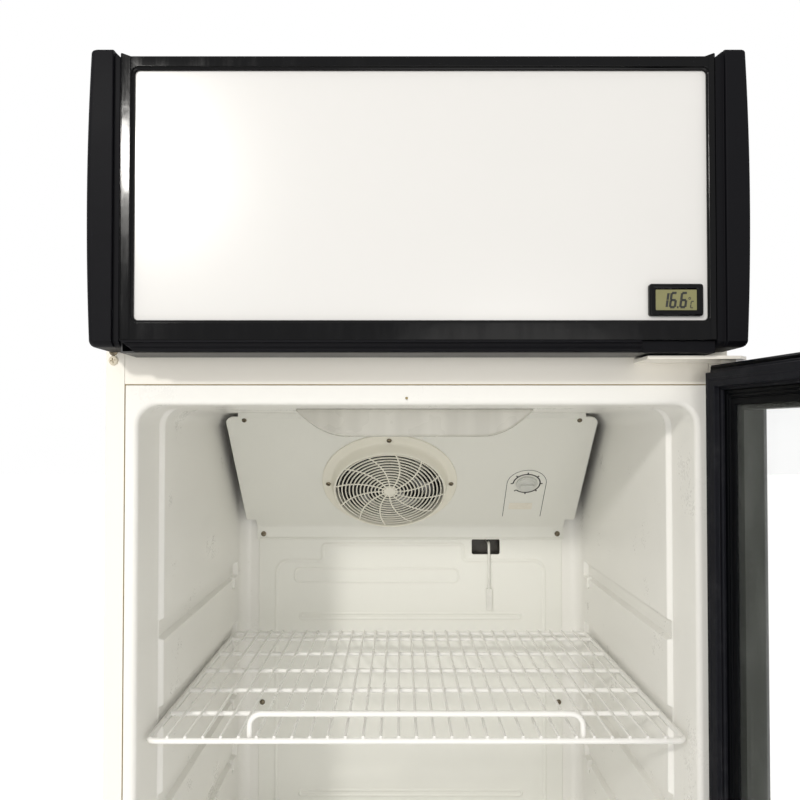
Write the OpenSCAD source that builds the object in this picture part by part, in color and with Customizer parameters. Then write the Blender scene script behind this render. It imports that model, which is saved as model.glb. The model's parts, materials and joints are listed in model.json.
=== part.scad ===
// Upright glass door merchandiser: an insulated cabinet with wire shelves, a lit header
// and one glass door hinged on the right.
// +X is to the right, +Y goes into the cabinet, +Z is up. The origin lies on the floor,
// under the middle of the cabinet's footprint. The door stands open by door_open degrees.

/* [Cabinet] */
// Width across the side panels
body_w = 620; // [590:1:670]
// Depth from the front edges of the side panels to the back panel
body_d = 530; // [515:1:600]
// Height from the floor to the top of the header
total_h = 1994; // [1960:1:2100]
// Height of the underside of the insulated body
base_h = 262; // [245:1:290]
// Height of the base pan above the floor
foot_h = 45; // [36:1:60]
// Thickness of the steel sheet
sheet_t = 1.2; // [0.8:0.1:2]
// Width of the folded edges of the side panels
edge_w = 19; // [16:0.5:24]
// Height of the steel rail under the insulated body
base_rail_h = 26; // [24:1:34]

/* [Insulated walls] */
// Side wall thickness at the front of the opening
wall_side = 32.5; // [30:0.5:40]
// Back wall thickness
wall_back = 54; // [50:1:70]
// Ceiling thickness
wall_top = 65; // [55:1:80]
// Floor thickness
wall_floor = 60; // [50:1:75]
// Thickness of the moulded liner
liner_t = 2.5; // [1.5:0.1:4]
// Thickness of the liner's front flange
flange_t = 2; // [1.5:0.1:3]
// Height of the front flange above the opening
flange_h = 21; // [16:1:28]
// Radius of the corners of the opening
opening_r = 20; // [10:1:30]
// Depth of the recessed strip behind the opening
strip_d = 70; // [50:1:90]
// How far the side walls step in behind that strip
wall_step = 6; // [5:0.5:9]

/* [Shelves] */
// Number of guide grooves in each side wall
guide_n = 12; // [11:1:13]
// Drop from the ceiling to the topmost guide groove
top_guide_drop = 246; // [236:1:262]
// Rise from the cabinet's floor to the lowest guide groove
low_guide_lift = 74; // [60:1:90]
// Height of a guide groove
groove_h = 20; // [16:1:26]
// How much deeper than the front strip a groove is
groove_extra = 1; // [1:0.5:3]
// Distance from the front plane to the rear end of the grooves
groove_end = 452; // [448:1:455]
// Width of the hook notch near the rear end of a groove
hook_w = 12; // [8:1:16]
// Height of the hook notch
hook_h = 15; // [10:1:20]
// Gap between a shelf and the front strip
shelf_gap = 2; // [1.5:0.5:3]
// Distance from the front plane to a shelf's front wire
shelf_front = 20; // [16:1:30]
// Depth of a shelf between its front and rear wires
shelf_d = 424; // [400:1:426]
// Radius of the frame wire
frame_r = 3; // [2.5:0.1:3.2]
// Radius of the cross wires
cross_r = 2.8; // [2:0.1:3]
// Radius of the long wires
long_r = 1.5; // [1.2:0.1:2]
// Radius of the bends at a shelf's corners
shelf_corner_r = 9; // [7:1:14]
// Spacing of the long wires
long_pitch = 18; // [16:0.5:24]
// Spacing of the cross wires
cross_pitch = 78; // [60:1:80]
// Outer width of the raised front loop
loop_w = 346; // [280:1:400]
// Height of the raised front loop above the front wire
loop_h = 28; // [22:1:36]
// Bend radius of the loop
loop_bend_r = 12; // [8:1:16]

/* [Evaporator] */
// Width of the sloped cover
cover_w = 518; // [500:1:526]
// Width of the cover's lower tab
tab_w = 488; // [470:1:498]
// Height of the lower tab
tab_h = 21; // [18:1:30]
// Vertical rise of the sloped part
cover_rise = 170; // [162:1:175]
// Horizontal run of the sloped part
cover_run = 168; // [155:1:175]
// Gap between the slope's top edge and the ceiling
cover_drop = 6; // [4:0.5:10]
// Thickness of the cover
cover_t = 2; // [1.2:0.1:3]
// Sideways place of the fan
fan_x = -32; // [-50:1:0]
// Place of the fan's centre up the slope
fan_v = 105; // [102:0.5:110]
// Outer radius of the fan guard's flange
guard_flange_r = 101; // [96:0.5:102]
// Radius of the guard's grille
guard_r = 83; // [81:0.5:87]
// How far the grille stands out from the cover
guard_rise = 20; // [14:0.5:24]
// Number of rings in the grille
guard_rings = 12; // [6:1:14]
// Number of spokes in the grille
guard_spokes = 12; // [6:1:12]
// Radius of the fan
fan_r = 76; // [70:0.5:77]
// Radius of the fan's shaft
shaft_r = 3; // [2.5:0.1:4]
// Radial clearance of a running shaft
run_fit = 0.05; // [0.02:0.01:0.1]
// Sideways place of the thermostat
thermostat_x = 174; // [160:1:190]
// Place of the thermostat up the slope
thermostat_v = 102; // [95:1:110]
// Radius of the thermostat knob
knob_r = 15; // [13:0.5:18]
// Height of the knob
knob_h = 8; // [7:0.5:14]

/* [Inner fittings] */
// Width of the rear panel
rear_panel_w = 483; // [470:1:500]
// Thickness of the rear panel
rear_panel_t = 2; // [1.5:0.1:3]
// Width of the lamp lens at the ceiling
lens_w = 270; // [240:1:320]
// Width of the flat underside of the lens
lens_flat_w = 156; // [140:1:200]
// Drop of the lens below the ceiling
lens_h = 30; // [24:1:36]
// Depth of the lens from front to back
lens_d = 64; // [50:1:80]
// Distance from the front plane to the middle of the lens
lens_place = 146; // [120:1:170]
// Wall thickness of the lens
lens_t = 1.6; // [1.2:0.1:2.5]

/* [Header] */
// Height of the header
head_h = 282; // [270:1:310]
// How far the header hangs below the top of the cabinet
head_lap = 18; // [14:1:24]
// How far the header stands out from the front plane
head_over = 60; // [58:1:75]
// Depth of the header
head_d = 150; // [130:1:180]
// Width of the header at its top and bottom
head_w = 608; // [590:1:620]
// How far the end caps bow outward at mid height
cap_bow = 3.5; // [1:0.5:6]
// Width of an end cap
cap_w = 27; // [22:1:34]
// Wall thickness of the end caps
cap_t = 3; // [2:0.5:4]
// How far the caps stand above the frame
cap_lift = 6; // [3:0.5:9]
// Width of the frame's stiles
frame_stile_w = 9; // [8:0.5:14]
// Height of the frame's top rail
frame_top_h = 12; // [10:0.5:18]
// Height of the frame's bottom rail
frame_bottom_h = 19; // [14:0.5:22]
// Height of the lower lip
lip_h = 11; // [8:0.5:14]
// Left end of the lower lip
lip_left = -276; // [-276:1:-240]
// Right end of the lower lip
lip_right = 207; // [180:1:212]
// Width of the thermometer bezel
bezel_w = 50; // [44:1:56]
// Height of the thermometer bezel
bezel_h = 30; // [26:1:34]
// Width of the display window
window_w = 38; // [32:0.5:42]
// Height of the display window
window_h = 19; // [14:0.5:23]

/* [Door] */
// Angle at which the door stands open
door_open = 100; // [60:1:110]
// Width of the door
door_w = 616; // [600:1:617]
// Thickness of the door frame
door_t = 48; // [42:1:50]
// Width of the door's stiles and rails
stile_w = 40; // [38:1:56]
// Gap between the door frame and the front plane when shut
door_gap = 10; // [9:0.5:12]
// Distance of the hinge axis from the door's edge
pin_inset = 8; // [7:0.5:10]
// Distance of the hinge axis from the front plane
pin_ahead = 25; // [25:0.5:30]
// Radius of the hinge pins
pin_r = 4; // [3:0.1:5]
// Gap between the door and each hinge plate
hinge_gap = 4; // [3:0.5:6]
// Thickness of the hinge plates
hinge_t = 3; // [2.5:0.1:5]
// Length of the hinge plates
hinge_l = 97; // [80:1:110]
// Width of the gasket
gasket_w = 20; // [16:0.5:24]
// Distance of the gasket from the door's edge
gasket_inset = 5; // [4.5:0.5:8]
// Thickness of one glass pane
pane_t = 4; // [3:0.5:5]
// Space between the panes
pane_gap = 20; // [14:0.5:21]
// Depth of the glass inside the frame
glass_bite = 12; // [9:0.5:16]
// Thickness of the lip that holds the inner pane
bead_t = 2.7; // [2:0.1:4]
// Length of the handle
handle_l = 280; // [220:1:360]
// Clear space behind the handle
handle_gap = 32; // [28:1:40]

/* [Machine bay] */
// Radius of the compressor shell
compressor_r = 72; // [60:1:80]
// Height of the straight part of the compressor shell
compressor_h = 92; // [80:1:100]
// Radius of the condenser fan
condenser_fan_r = 78; // [70:1:80]
// Width of the condenser
condenser_w = 214; // [190:1:230]
// Height of the condenser
condenser_h = 165; // [165:1:175]
// Depth of the condenser
condenser_d = 50; // [40:1:60]
// Radius of the bore in the supply cord gland
gland_r = 4.5; // [4:0.1:6]

/* [Hidden] */
$fn = 64;

soft_gap = 0.3;                             // rest gap between a loose piece and its seat
cut = 1;                                    // how far a cut runs past the face it opens
front_y = -body_d / 2;
back_y = body_d / 2;
half_w = body_w / 2;
head_z = total_h - head_h;                  // underside of the header
cab_top = head_z + head_lap;                // roof of the cabinet
ceil_z = cab_top - wall_top;
floor_z = base_h + wall_floor;
seam_z = ceil_z + flange_h;                 // top of the liner's flange
in_x = half_w - wall_side;                  // inner face of the front strip
wall_x = in_x - wall_step;                  // inner face of the side walls
groove_x = in_x + groove_extra;             // bottom of the guide grooves
in_back = back_y - wall_back;               // face of the back wall
fold_x = half_w - edge_w;                   // inner edge of the side panels' folds

// shelves
shelf_x = in_x - shelf_gap - frame_r;       // axis of a shelf's side wires
shelf_y0 = front_y + shelf_front;           // axis of a shelf's front wire
shelf_y1 = shelf_y0 + shelf_d;
top_guide_z = ceil_z - top_guide_drop;
guide_pitch = (top_guide_z - floor_z - low_guide_lift) / (guide_n - 1);
shelf_step = 3;                             // guide grooves from one shelf to the next
groove_z0 = -frame_r - soft_gap;            // a groove's floor below the wire axis
hook_back = 22;                             // from the groove's end to the hook notch
long_lift = cross_r + long_r - 0.4;         // long wires rest on the cross wires and are welded
loop_y = shelf_y0 + 2 * frame_r + 0.05;     // the loop's legs stand behind the front wire

// sloped evaporator cover: its plane has X and the distance v up the slope
bend_y = in_back - rear_panel_t - cover_t;
bend_z = ceil_z - cover_drop - cover_rise;
slope_l = norm([cover_run, cover_rise]);
slope_a = atan2(cover_rise, cover_run);
notch_v = 16;                               // the cover is narrow below this line
cover_corner_r = 12;
fan_hole_r = guard_r - 3;
fan_depth = 34;                             // fan frame behind the cover
fan_rotor = [-27, -9];                      // lower and upper end of the rotor
fan_hub_r = 27;
fan_blades = 7;
spindle_r = shaft_r;
coil_d = 50;
coil_h = 38;
coil_back_gap = 10;
coil_top_gap = 8;
coil_inset = 45;
coil_y = [in_back - coil_back_gap - coil_d, in_back - coil_back_gap];
coil_z = [ceil_z - coil_top_gap - coil_h, ceil_z - coil_top_gap];
coil_x = cover_w / 2 - coil_inset;

// sensor pocket behind the rear panel
pocket_x = [98, 142.5];
pocket_z = [bend_z - tab_h - 24, bend_z - tab_h];
pocket_d = 28;
lead_r = 2;
lead_x = 125;
lead_bend_r = 8;
lead_clear = 6;                             // from the probe down to the rib above shelf 1
probe = [9, 5, 34];
rib_h = 8;
rib_lift = 16;
lead_z = pocket_z[1] - 6;
lead_drop = lead_z - shelf_z(0) - rib_lift - rib_h - lead_clear - probe[2] + 4;

// header
head_y0 = front_y - head_over;              // front of the end caps
cap_z0 = head_z + 5;                        // the caps end a little above the lip
head_y1 = head_y0 + head_d;
cap_x = head_w / 2 - cap_w;                 // inner face of the end caps
frame_x = cap_x - 0.5;
frame_y0 = head_y0 + 1;
frame_t = 6;
panel_y0 = frame_y0 + frame_t;
panel_t = 3;
tray_y0 = panel_y0 + panel_t;
tray_t = 1.5;
frame_z1 = total_h - cap_lift;
frame_z0 = head_z + lip_h;
view_x = frame_x - frame_stile_w;           // visible part of the sign panel
view_z0 = frame_z0 + frame_bottom_h;
view_z1 = frame_z1 - frame_top_h;
hinge_slot = 6.5;                           // room for the hinge leg and its screws
bezel_t = 5;
bezel_margin = 3.5;
bezel_x = view_x - bezel_margin - bezel_w / 2;
bezel_z = view_z0 + bezel_margin + bezel_h / 2;

// door, drawn shut and then turned about its pins
pin_x = door_w / 2 - pin_inset;
pin_y = front_y - pin_ahead;
door_y1 = front_y - door_gap;               // inner face of the frame
door_y0 = door_y1 - door_t;                 // outer face
hinge_z = head_z - 5;                       // underside of the top hinge plate
door_z1 = hinge_z - hinge_gap;
door_z0 = base_h;
low_hinge_z = door_z0 - hinge_gap;          // upper face of the bottom hinge plate
pin_l = 12;                                 // length of a pin inside the door
pin_end = 1;                                // clear end of the pin's hole
inner_pane_y = door_y1 - bead_t - soft_gap;
spacer_y = inner_pane_y - pane_t;
outer_pane_y = spacer_y - pane_gap;
glass_x = door_w / 2 - stile_w + glass_bite;
glass_z = [door_z0 + stile_w - glass_bite, door_z1 - stile_w + glass_bite];
spacer_w = 9;
gasket_y1 = front_y - 0.5;
gasket_base_t = 3;
gasket_bulb_w = gasket_w - 6;
handle_z = (door_z0 + door_z1) / 2;
handle_w = 20;
handle_bar_t = 14;

// machine bay
pan_t = 2;
bay_z0 = foot_h + pan_t;
bay_z1 = base_h - sheet_t;
compressor_at = [150, 40];
compressor_leg_h = 12;
condenser_x = -170;
condenser_y = front_y + 22;
shroud_y = condenser_y + condenser_d;
shroud_t = 2;
cfan_z = bay_z0 + condenser_h / 2;
cfan_hub_r = 24;
box_x = [150, 262];
box_y = [back_y - sheet_t - 62, back_y - sheet_t];
box_z = [bay_z0, bay_z0 + 92];
gland_at = [206, bay_z0 + 46];
gland_tube_r = gland_r + 3.5;
gland_l = 22;

// a block between two corners, each given as [low, high]
module block(x, y, z)
    translate([x[0], y[0], z[0]]) cube([x[1] - x[0], y[1] - y[0], z[1] - z[0]]);

// a drawing in X and Z, pushed forward from y by t
module facing(y, t)
    translate([0, y, 0]) rotate([90, 0, 0]) linear_extrude(t) children();

// a drawing in Y and Z, pushed along +X from x by t
module sideways(x, t)
    translate([x, 0, 0]) rotate([90, 0, 90]) linear_extrude(t) children();

module round_rect(w, h, r) {
    square([w, h - 2 * r], center = true);
    square([w - 2 * r, h], center = true);
    for (x = [-1, 1], y = [-1, 1])
        translate([x * (w / 2 - r), y * (h / 2 - r)]) circle(r);
}

// a rounded rectangle in X and Z between two limits
module round_window(x, z, r)
    translate([(x[0] + x[1]) / 2, (z[0] + z[1]) / 2]) round_rect(x[1] - x[0], z[1] - z[0], r);

// children drawn flat on the sloped cover, with +Y up the slope and +Z out of the cover
module on_cover(x = 0, v = 0)
    translate([0, bend_y, bend_z]) rotate([180 - slope_a, 0, 0]) translate([x, v, 0]) children();

module wire_x(x0, x1, y, z, r)
    translate([x0, y, z]) rotate([0, 90, 0]) cylinder(h = x1 - x0, r = r);
module wire_y(x, y0, y1, z, r)
    translate([x, y0, z]) rotate([-90, 0, 0]) cylinder(h = y1 - y0, r = r);

// ---------------------------------------------------------------- cabinet skin

module side_panel(s) {
    color("ivory") {
        block(s > 0 ? [half_w - sheet_t, half_w] : [-half_w, sheet_t - half_w],
            [front_y, back_y], [foot_h, cab_top]);
        for (y = [front_y, back_y - sheet_t])
            block(s > 0 ? [fold_x, half_w] : [-half_w, -fold_x], [y, y + sheet_t],
                [foot_h, cab_top]);
    }
}

module side_panel_left() side_panel(-1);
module side_panel_right() side_panel(1);

module top_panel() color("ivory") {
    block([sheet_t - half_w, half_w - sheet_t], [front_y + sheet_t, back_y - sheet_t],
        [cab_top - sheet_t, cab_top]);
    block([-fold_x, fold_x], [front_y, front_y + sheet_t], [seam_z, cab_top]);
}

module back_panel() color("ivory") difference() {
    slot_w = 140;
    slot_h = 6;
    slot_pitch = 16;
    slot_lift = 50;
    slot_x = [-230, -70];
    block([-fold_x, fold_x], [back_y - sheet_t, back_y], [foot_h, cab_top]);
    for (x = slot_x, i = [0:7])
        block([x, x + slot_w], [back_y - sheet_t - cut, back_y + cut],
            [bay_z0 + slot_lift + i * slot_pitch, bay_z0 + slot_lift + i * slot_pitch + slot_h]);
    wire_y(gland_at[0], back_y - sheet_t - cut, back_y + cut, gland_at[1], gland_tube_r + 0.2);
}

module base_pan() color("dimgray") {
    lip = 20;
    block([sheet_t - half_w, half_w - sheet_t], [front_y + sheet_t, back_y - sheet_t],
        [foot_h, bay_z0]);
    block([-fold_x, fold_x], [front_y, front_y + sheet_t], [foot_h, bay_z0 + lip]);
}

module bay_roof() color("ivory") {
    block([sheet_t - half_w, half_w - sheet_t], [front_y + sheet_t, back_y - sheet_t],
        [base_h - sheet_t, base_h]);
    block([-fold_x, fold_x], [front_y, front_y + sheet_t], [base_h - base_rail_h, base_h]);
}

module kick_grille() color("black") {
    grille_t = 3;
    z = [bay_z0 + 20, base_h - base_rail_h];
    bar = 8;
    n = floor((z[1] - z[0] - bar) / (2 * bar));
    difference() {
        block([-fold_x, fold_x], [front_y, front_y + grille_t], z);
        for (i = [0:n - 1], s = [-1, 0, 1])
            block([s * 175 - 80, s * 175 + 80], [front_y - cut, front_y + grille_t + cut],
                [z[0] + bar + i * 2 * bar, z[0] + 2 * bar + i * 2 * bar]);
    }
}

module levelling_feet() color("dimgray") {
    pad_r = 20;
    pad_h = 10;
    stem_r = 6;
    nut_r = 11;
    nut_h = 8;
    inset = 42;
    for (x = [-1, 1], y = [-1, 1])
        translate([x * (half_w - inset), y * (back_y - inset), 0]) {
            cylinder(h = pad_h, r = pad_r);
            cylinder(h = foot_h, r = stem_r);
            translate([0, 0, foot_h - nut_h]) cylinder(h = nut_h, r = nut_r, $fn = 6);
        }
}

module foam_insulation() color("khaki") difference() {
    block([sheet_t - half_w, half_w - sheet_t], [front_y + flange_t, back_y - sheet_t],
        [base_h, cab_top - sheet_t]);
    block([-groove_x - liner_t, groove_x + liner_t], [front_y - cut, in_back + liner_t],
        [floor_z - liner_t, ceil_z + liner_t]);
    block([pocket_x[0] - liner_t, pocket_x[1] + liner_t],
        [in_back, in_back + pocket_d + liner_t],
        [pocket_z[0] - liner_t, pocket_z[1] + liner_t]);
}

// ---------------------------------------------------------------- liner

// wire axis height of guide level k, counted down from the topmost groove, and of shelf i,
// which leaves the topmost groove free
function guide_z(k) = top_guide_z - guide_pitch * k;
function shelf_z(i) = guide_z(1 + shelf_step * i);

module liner_side() {
    y0 = front_y + flange_t;
    y_step = front_y + strip_d;
    y_end = front_y + groove_end;
    hook_y = [y_end - hook_back - hook_w, y_end - hook_back];
    difference() {
        union() {
            block([in_x, groove_x + liner_t], [y0, y_step], [floor_z, ceil_z]);
            block([wall_x, groove_x + liner_t], [y_step, y_step + liner_t], [floor_z, ceil_z]);
            block([wall_x, wall_x + liner_t], [y_step, in_back], [floor_z, ceil_z]);
            for (k = [0:guide_n - 1]) {
                z = guide_z(k) + groove_z0;
                block([wall_x, groove_x + liner_t], [y_step, y_end + liner_t],
                    [z - liner_t, z + groove_h + liner_t]);
                block([wall_x, groove_x + liner_t], [hook_y[0] - liner_t, hook_y[1] + liner_t],
                    [z - hook_h - liner_t, z]);
            }
        }
        for (k = [0:guide_n - 1]) {
            z = guide_z(k) + groove_z0;
            block([wall_x - cut, groove_x], [y_step - cut, y_end], [z, z + groove_h]);
            block([wall_x - cut, groove_x], hook_y, [z - hook_h, z + cut]);
        }
    }
}

module liner_right() color("white") liner_side();
module liner_left() color("white") mirror([1, 0, 0]) liner_side();

module liner_back() color("white") difference() {
    x1 = groove_x + liner_t;
    union() {
        block([-x1, x1], [in_back, in_back + liner_t], [floor_z - liner_t, ceil_z + liner_t]);
        block([pocket_x[0] - liner_t, pocket_x[1] + liner_t],
            [in_back, in_back + pocket_d + liner_t],
            [pocket_z[0] - liner_t, pocket_z[1] + liner_t]);
    }
    block(pocket_x, [in_back - cut, in_back + pocket_d], pocket_z);
}

module liner_ceiling() color("white")
    block([-groove_x - liner_t, groove_x + liner_t], [front_y + flange_t, in_back],
        [ceil_z, ceil_z + liner_t]);

module liner_floor() color("white")
    block([-groove_x - liner_t, groove_x + liner_t], [front_y + flange_t, in_back],
        [floor_z - liner_t, floor_z]);

module liner_flange() color("white") {
    pin_hole_r = 1.5;
    facing(front_y + flange_t, flange_t) difference() {
        translate([-fold_x, base_h]) square([2 * fold_x, seam_z - base_h]);
        round_window([-in_x, in_x], [floor_z, ceil_z], opening_r);
        translate([-10, ceil_z + flange_h / 3]) circle(pin_hole_r);
    }
}

module rear_panel() color("whitesmoke") {
    bead = 6;
    bead_rise = 1.2;
    rib_w = 352;
    loop_x = rear_panel_w / 2 - 28;
    loop_z = [floor_z + 70, bend_z - tab_h - 34];
    y0 = in_back - rear_panel_t;
    difference() {
        block([-rear_panel_w / 2, rear_panel_w / 2], [y0, in_back],
            [floor_z + 30, bend_z - tab_h / 2]);
        block(pocket_x, [y0 - cut, in_back + cut], pocket_z);
    }
    facing(y0, bead_rise) difference() {
        round_window([-loop_x, loop_x], loop_z, 18);
        round_window([bead - loop_x, loop_x - bead], [loop_z[0] + bead, loop_z[1] - bead], 12);
    }
    for (i = [0:3])
        facing(y0, bead_rise)
            round_window([-rib_w / 2, rib_w / 2], [shelf_z(i) + rib_lift,
                shelf_z(i) + rib_lift + rib_h], rib_h / 2 - 0.1);
}

// ---------------------------------------------------------------- lamp and sensor

// half outline of the lens: flat below, then a parabola up to the ceiling
function lens_side(w, flat_w, h) =
    [for (i = [12:-1:0]) [flat_w / 2 + (w - flat_w) / 2 * i / 12, h * (i * i / 144 - 1)]];

module lens_outline(inset) {
    side = lens_side(lens_w - 2 * inset, lens_flat_w, lens_h - inset);
    other = [for (i = [len(side) - 1:-1:0]) [-side[i][0], side[i][1]]];
    translate([0, ceil_z]) polygon(concat(side, other));
}

module lamp_lens() color("white", 0.8) {
    y = front_y + lens_place + lens_d / 2;
    difference() {
        facing(y, lens_d) lens_outline(0);
        facing(y - lens_t, lens_d - 2 * lens_t) union() {
            lens_outline(lens_t);
            translate([lens_t - lens_w / 2, ceil_z - 0.01]) square([lens_w - 2 * lens_t, cut]);
        }
    }
}

module lamp_board() color("gainsboro") {
    board = [220, 24, 1.6];
    led = [5, 5, 1.6];
    led_n = 8;
    y = front_y + lens_place;
    translate([-board[0] / 2, y - board[1] / 2, ceil_z - board[2]]) cube(board);
    for (i = [0:led_n - 1])
        translate([(i - (led_n - 1) / 2) * board[0] / led_n - led[0] / 2, y - led[1] / 2,
            ceil_z - board[2] - led[2]]) cube(led);
}

module sensor_lead() color("white") {
    face = in_back - rear_panel_t;
    z = lead_z;
    lead_y = face - 1.2 - lead_r - 0.4;
    bend_at = [lead_y + lead_bend_r, z - lead_bend_r];
    wire_y(lead_x, bend_at[0], in_back + pocket_d, z, lead_r);
    translate([lead_x, bend_at[0], bend_at[1]]) rotate([90, 0, 90]) rotate([0, 0, 90])
        rotate_extrude(angle = 90) translate([lead_bend_r, 0]) circle(lead_r);
    translate([lead_x, lead_y, z - lead_drop]) cylinder(h = lead_drop - lead_bend_r, r = lead_r);
    translate([lead_x - probe[0] / 2, face - probe[1], z - lead_drop - probe[2] + 4]) cube(probe);
}

// ---------------------------------------------------------------- evaporator

module cover_outline() {
    w = cover_w;
    difference() {
        translate([-w / 2, notch_v]) square([w, slope_l - notch_v]);
        for (s = [-1, 1]) translate([s * w / 2, slope_l]) square(2 * cover_corner_r, center = true);
    }
    for (s = [-1, 1]) translate([s * (w / 2 - cover_corner_r), slope_l - cover_corner_r])
        circle(cover_corner_r);
    translate([-tab_w / 2, 0]) square([tab_w, notch_v]);
}

module evaporator_cover() color("whitesmoke") {
    lip_w = cover_w - 3 * cover_corner_r;
    difference() {
        union() {
            on_cover() translate([0, 0, -cover_t]) linear_extrude(cover_t) cover_outline();
            block([-tab_w / 2, tab_w / 2], [bend_y, bend_y + cover_t],
                [bend_z - tab_h, bend_z + cover_t]);
            block([-lip_w / 2, lip_w / 2], [bend_y - cover_run, bend_y - cover_run + cover_t],
                [bend_z + cover_rise, ceil_z]);
        }
        on_cover(fan_x, fan_v) translate([0, 0, -cover_t - cut])
            cylinder(h = cover_t + 2 * cut, r = fan_hole_r);
        on_cover(thermostat_x, thermostat_v) translate([0, 0, -cover_t - cut])
            cylinder(h = cover_t + 2 * cut, r = spindle_r + 2);
    }
}

module evaporator_coil() color("silver") {
    fin_n = 30;
    fin_t = 1;
    tube_r = 4.75;
    plate_t = 1.6;
    for (s = [-1, 1])
        block(s > 0 ? [coil_x, coil_x + plate_t] : [-coil_x - plate_t, -coil_x],
            coil_y, [coil_z[0], ceil_z]);
    for (i = [1:fin_n - 1])
        block([-coil_x + i * 2 * coil_x / fin_n - fin_t / 2, -coil_x + i * 2 * coil_x / fin_n + fin_t / 2],
            coil_y, coil_z);
    for (y = [0.2, 0.5, 0.8], z = [0.3, 0.7])
        wire_x(-coil_x - 8, coil_x + 8, coil_y[0] + y * (coil_y[1] - coil_y[0]),
            coil_z[0] + z * (coil_z[1] - coil_z[0]), tube_r);
}

// an axial fan on +Z: a hub with a blind bore for the shaft, and tilted blades
module fan(r, hub_r, blades, z, bore_r) {
    blade_t = 2;
    tilt = 28;
    h = z[1] - z[0];
    difference() {
        union() {
            translate([0, 0, z[0]]) cylinder(h = h, r = hub_r);
            intersection() {
                translate([0, 0, z[0]]) cylinder(h = h, r = r);
                for (i = [0:blades - 1])
                    rotate([0, 0, i * 360 / blades]) translate([hub_r - 4, 0, (z[0] + z[1]) / 2])
                        rotate([tilt, 0, 0]) translate([0, -0.28 * r, -blade_t / 2])
                            cube([r, 0.56 * r, blade_t]);
            }
        }
        translate([0, 0, z[0] - cut]) cylinder(h = h - 2 + cut, r = bore_r);
    }
}

module evaporator_fan() color("dimgray")
    on_cover(fan_x, fan_v) fan(fan_r, fan_hub_r, fan_blades, fan_rotor, shaft_r + run_fit);

module evaporator_fan_motor() color("dimgray") on_cover(fan_x, fan_v) {
    ring_r = guard_r + 5;
    ring_d = 14;
    arm = [ring_r - fan_hub_r + 4, 8, 3];
    leg_w = ring_r - fan_r - 3;
    back = -cover_t - fan_depth;
    difference() {
        translate([0, 0, -cover_t - ring_d]) cylinder(h = ring_d, r = ring_r);
        translate([0, 0, -cover_t - ring_d - cut])
            cylinder(h = ring_d + 2 * cut, r = ring_r - leg_w);
    }
    for (a = [90, 210, 330]) rotate([0, 0, a]) {
        translate([fan_hub_r - 5, -arm[1] / 2, back]) cube(arm);
        translate([ring_r - leg_w + 0.5, -arm[1] / 2, back])
            cube([leg_w - 1.5, arm[1], fan_depth - 1]);
    }
    translate([0, 0, back]) cylinder(h = fan_rotor[0] - 1 - back, r = fan_hub_r - 2);
    translate([0, 0, back]) cylinder(h = fan_rotor[1] - 3 - back, r = shaft_r);
}

module fan_guard() color("ivory") on_cover(fan_x, fan_v) {
    flange_t = 3;
    wall = 3;
    wire = 1.7;
    grille_h = 3;
    hub_r = 10;
    pitch = (guard_r - hub_r) / (guard_rings + 1);
    sweep_r = guard_r * 0.9;
    difference() {
        cylinder(h = flange_t, r = guard_flange_r);
        translate([0, 0, -cut]) cylinder(h = flange_t + 2 * cut, r = guard_r - wall);
    }
    difference() {
        cylinder(h = guard_rise, r = guard_r);
        translate([0, 0, -cut]) cylinder(h = guard_rise + 2 * cut, r = guard_r - wall);
    }
    translate([0, 0, guard_rise - grille_h]) linear_extrude(grille_h) {
        circle(hub_r);
        for (i = [1:guard_rings]) difference() {
            circle(hub_r + i * pitch + wire / 2);
            circle(hub_r + i * pitch - wire / 2);
        }
        intersection() {
            circle(guard_r - wall / 2);
            for (i = [0:guard_spokes - 1]) rotate(i * 360 / guard_spokes)
                intersection() {
                    translate([0, sweep_r]) difference() {
                        circle(sweep_r + wire / 2);
                        circle(sweep_r - wire / 2);
                    }
                    square(guard_r + cut);
                }
        }
    }
}

module thermostat_body() color("dimgray") on_cover(thermostat_x, thermostat_v) difference() {
    size = [44, 32, 24];
    translate([-size[0] / 2, -size[1] / 2, -cover_t - size[2]]) cube(size);
    translate([0, 0, -cover_t - size[2] / 2]) cylinder(h = size[2], r = spindle_r + run_fit);
}

module thermostat_knob() color("gainsboro") on_cover(thermostat_x, thermostat_v) {
    grip_w = 9;
    skirt_h = 4;
    translate([0, 0, 1]) cylinder(h = skirt_h, r = knob_r);
    translate([0, 0, 1]) cylinder(h = knob_h - 3, r = knob_r - 3);
    translate([-knob_r + 4, -grip_w / 2, 1]) cube([2 * knob_r - 8, grip_w, knob_h]);
    translate([0, 0, -cover_t - 10]) cylinder(h = cover_t + 12, r = spindle_r);
}

// ---------------------------------------------------------------- shelves

module shelf_bend(x, y, a, z)
    translate([x, y, z]) rotate([0, 0, a]) rotate_extrude(angle = 90)
        translate([shelf_corner_r, 0]) circle(frame_r);

module shelf_deck(i) color("white") {
    z = shelf_z(i);
    c = shelf_corner_r;
    long_n = floor(2 * (shelf_x - frame_r) / long_pitch / 2);
    cross_n = floor((shelf_d - 26) / cross_pitch);
    for (s = [-1, 1]) wire_y(s * shelf_x, shelf_y0 + c, shelf_y1 - c, z, frame_r);
    for (y = [shelf_y0, shelf_y1]) wire_x(c - shelf_x, shelf_x - c, y, z, frame_r);
    shelf_bend(shelf_x - c, shelf_y1 - c, 0, z);
    shelf_bend(c - shelf_x, shelf_y1 - c, 90, z);
    shelf_bend(c - shelf_x, shelf_y0 + c, 180, z);
    shelf_bend(shelf_x - c, shelf_y0 + c, 270, z);
    for (k = [1:cross_n])
        wire_x(-shelf_x, shelf_x, shelf_y0 + k * cross_pitch, z, cross_r, $fn = 12);
    for (k = [-long_n:long_n]) if (abs(k * long_pitch) < shelf_x - c)
        wire_y(k * long_pitch, shelf_y0 - 1, shelf_y1 + 1, z + long_lift, long_r, $fn = 8);
}

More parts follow.
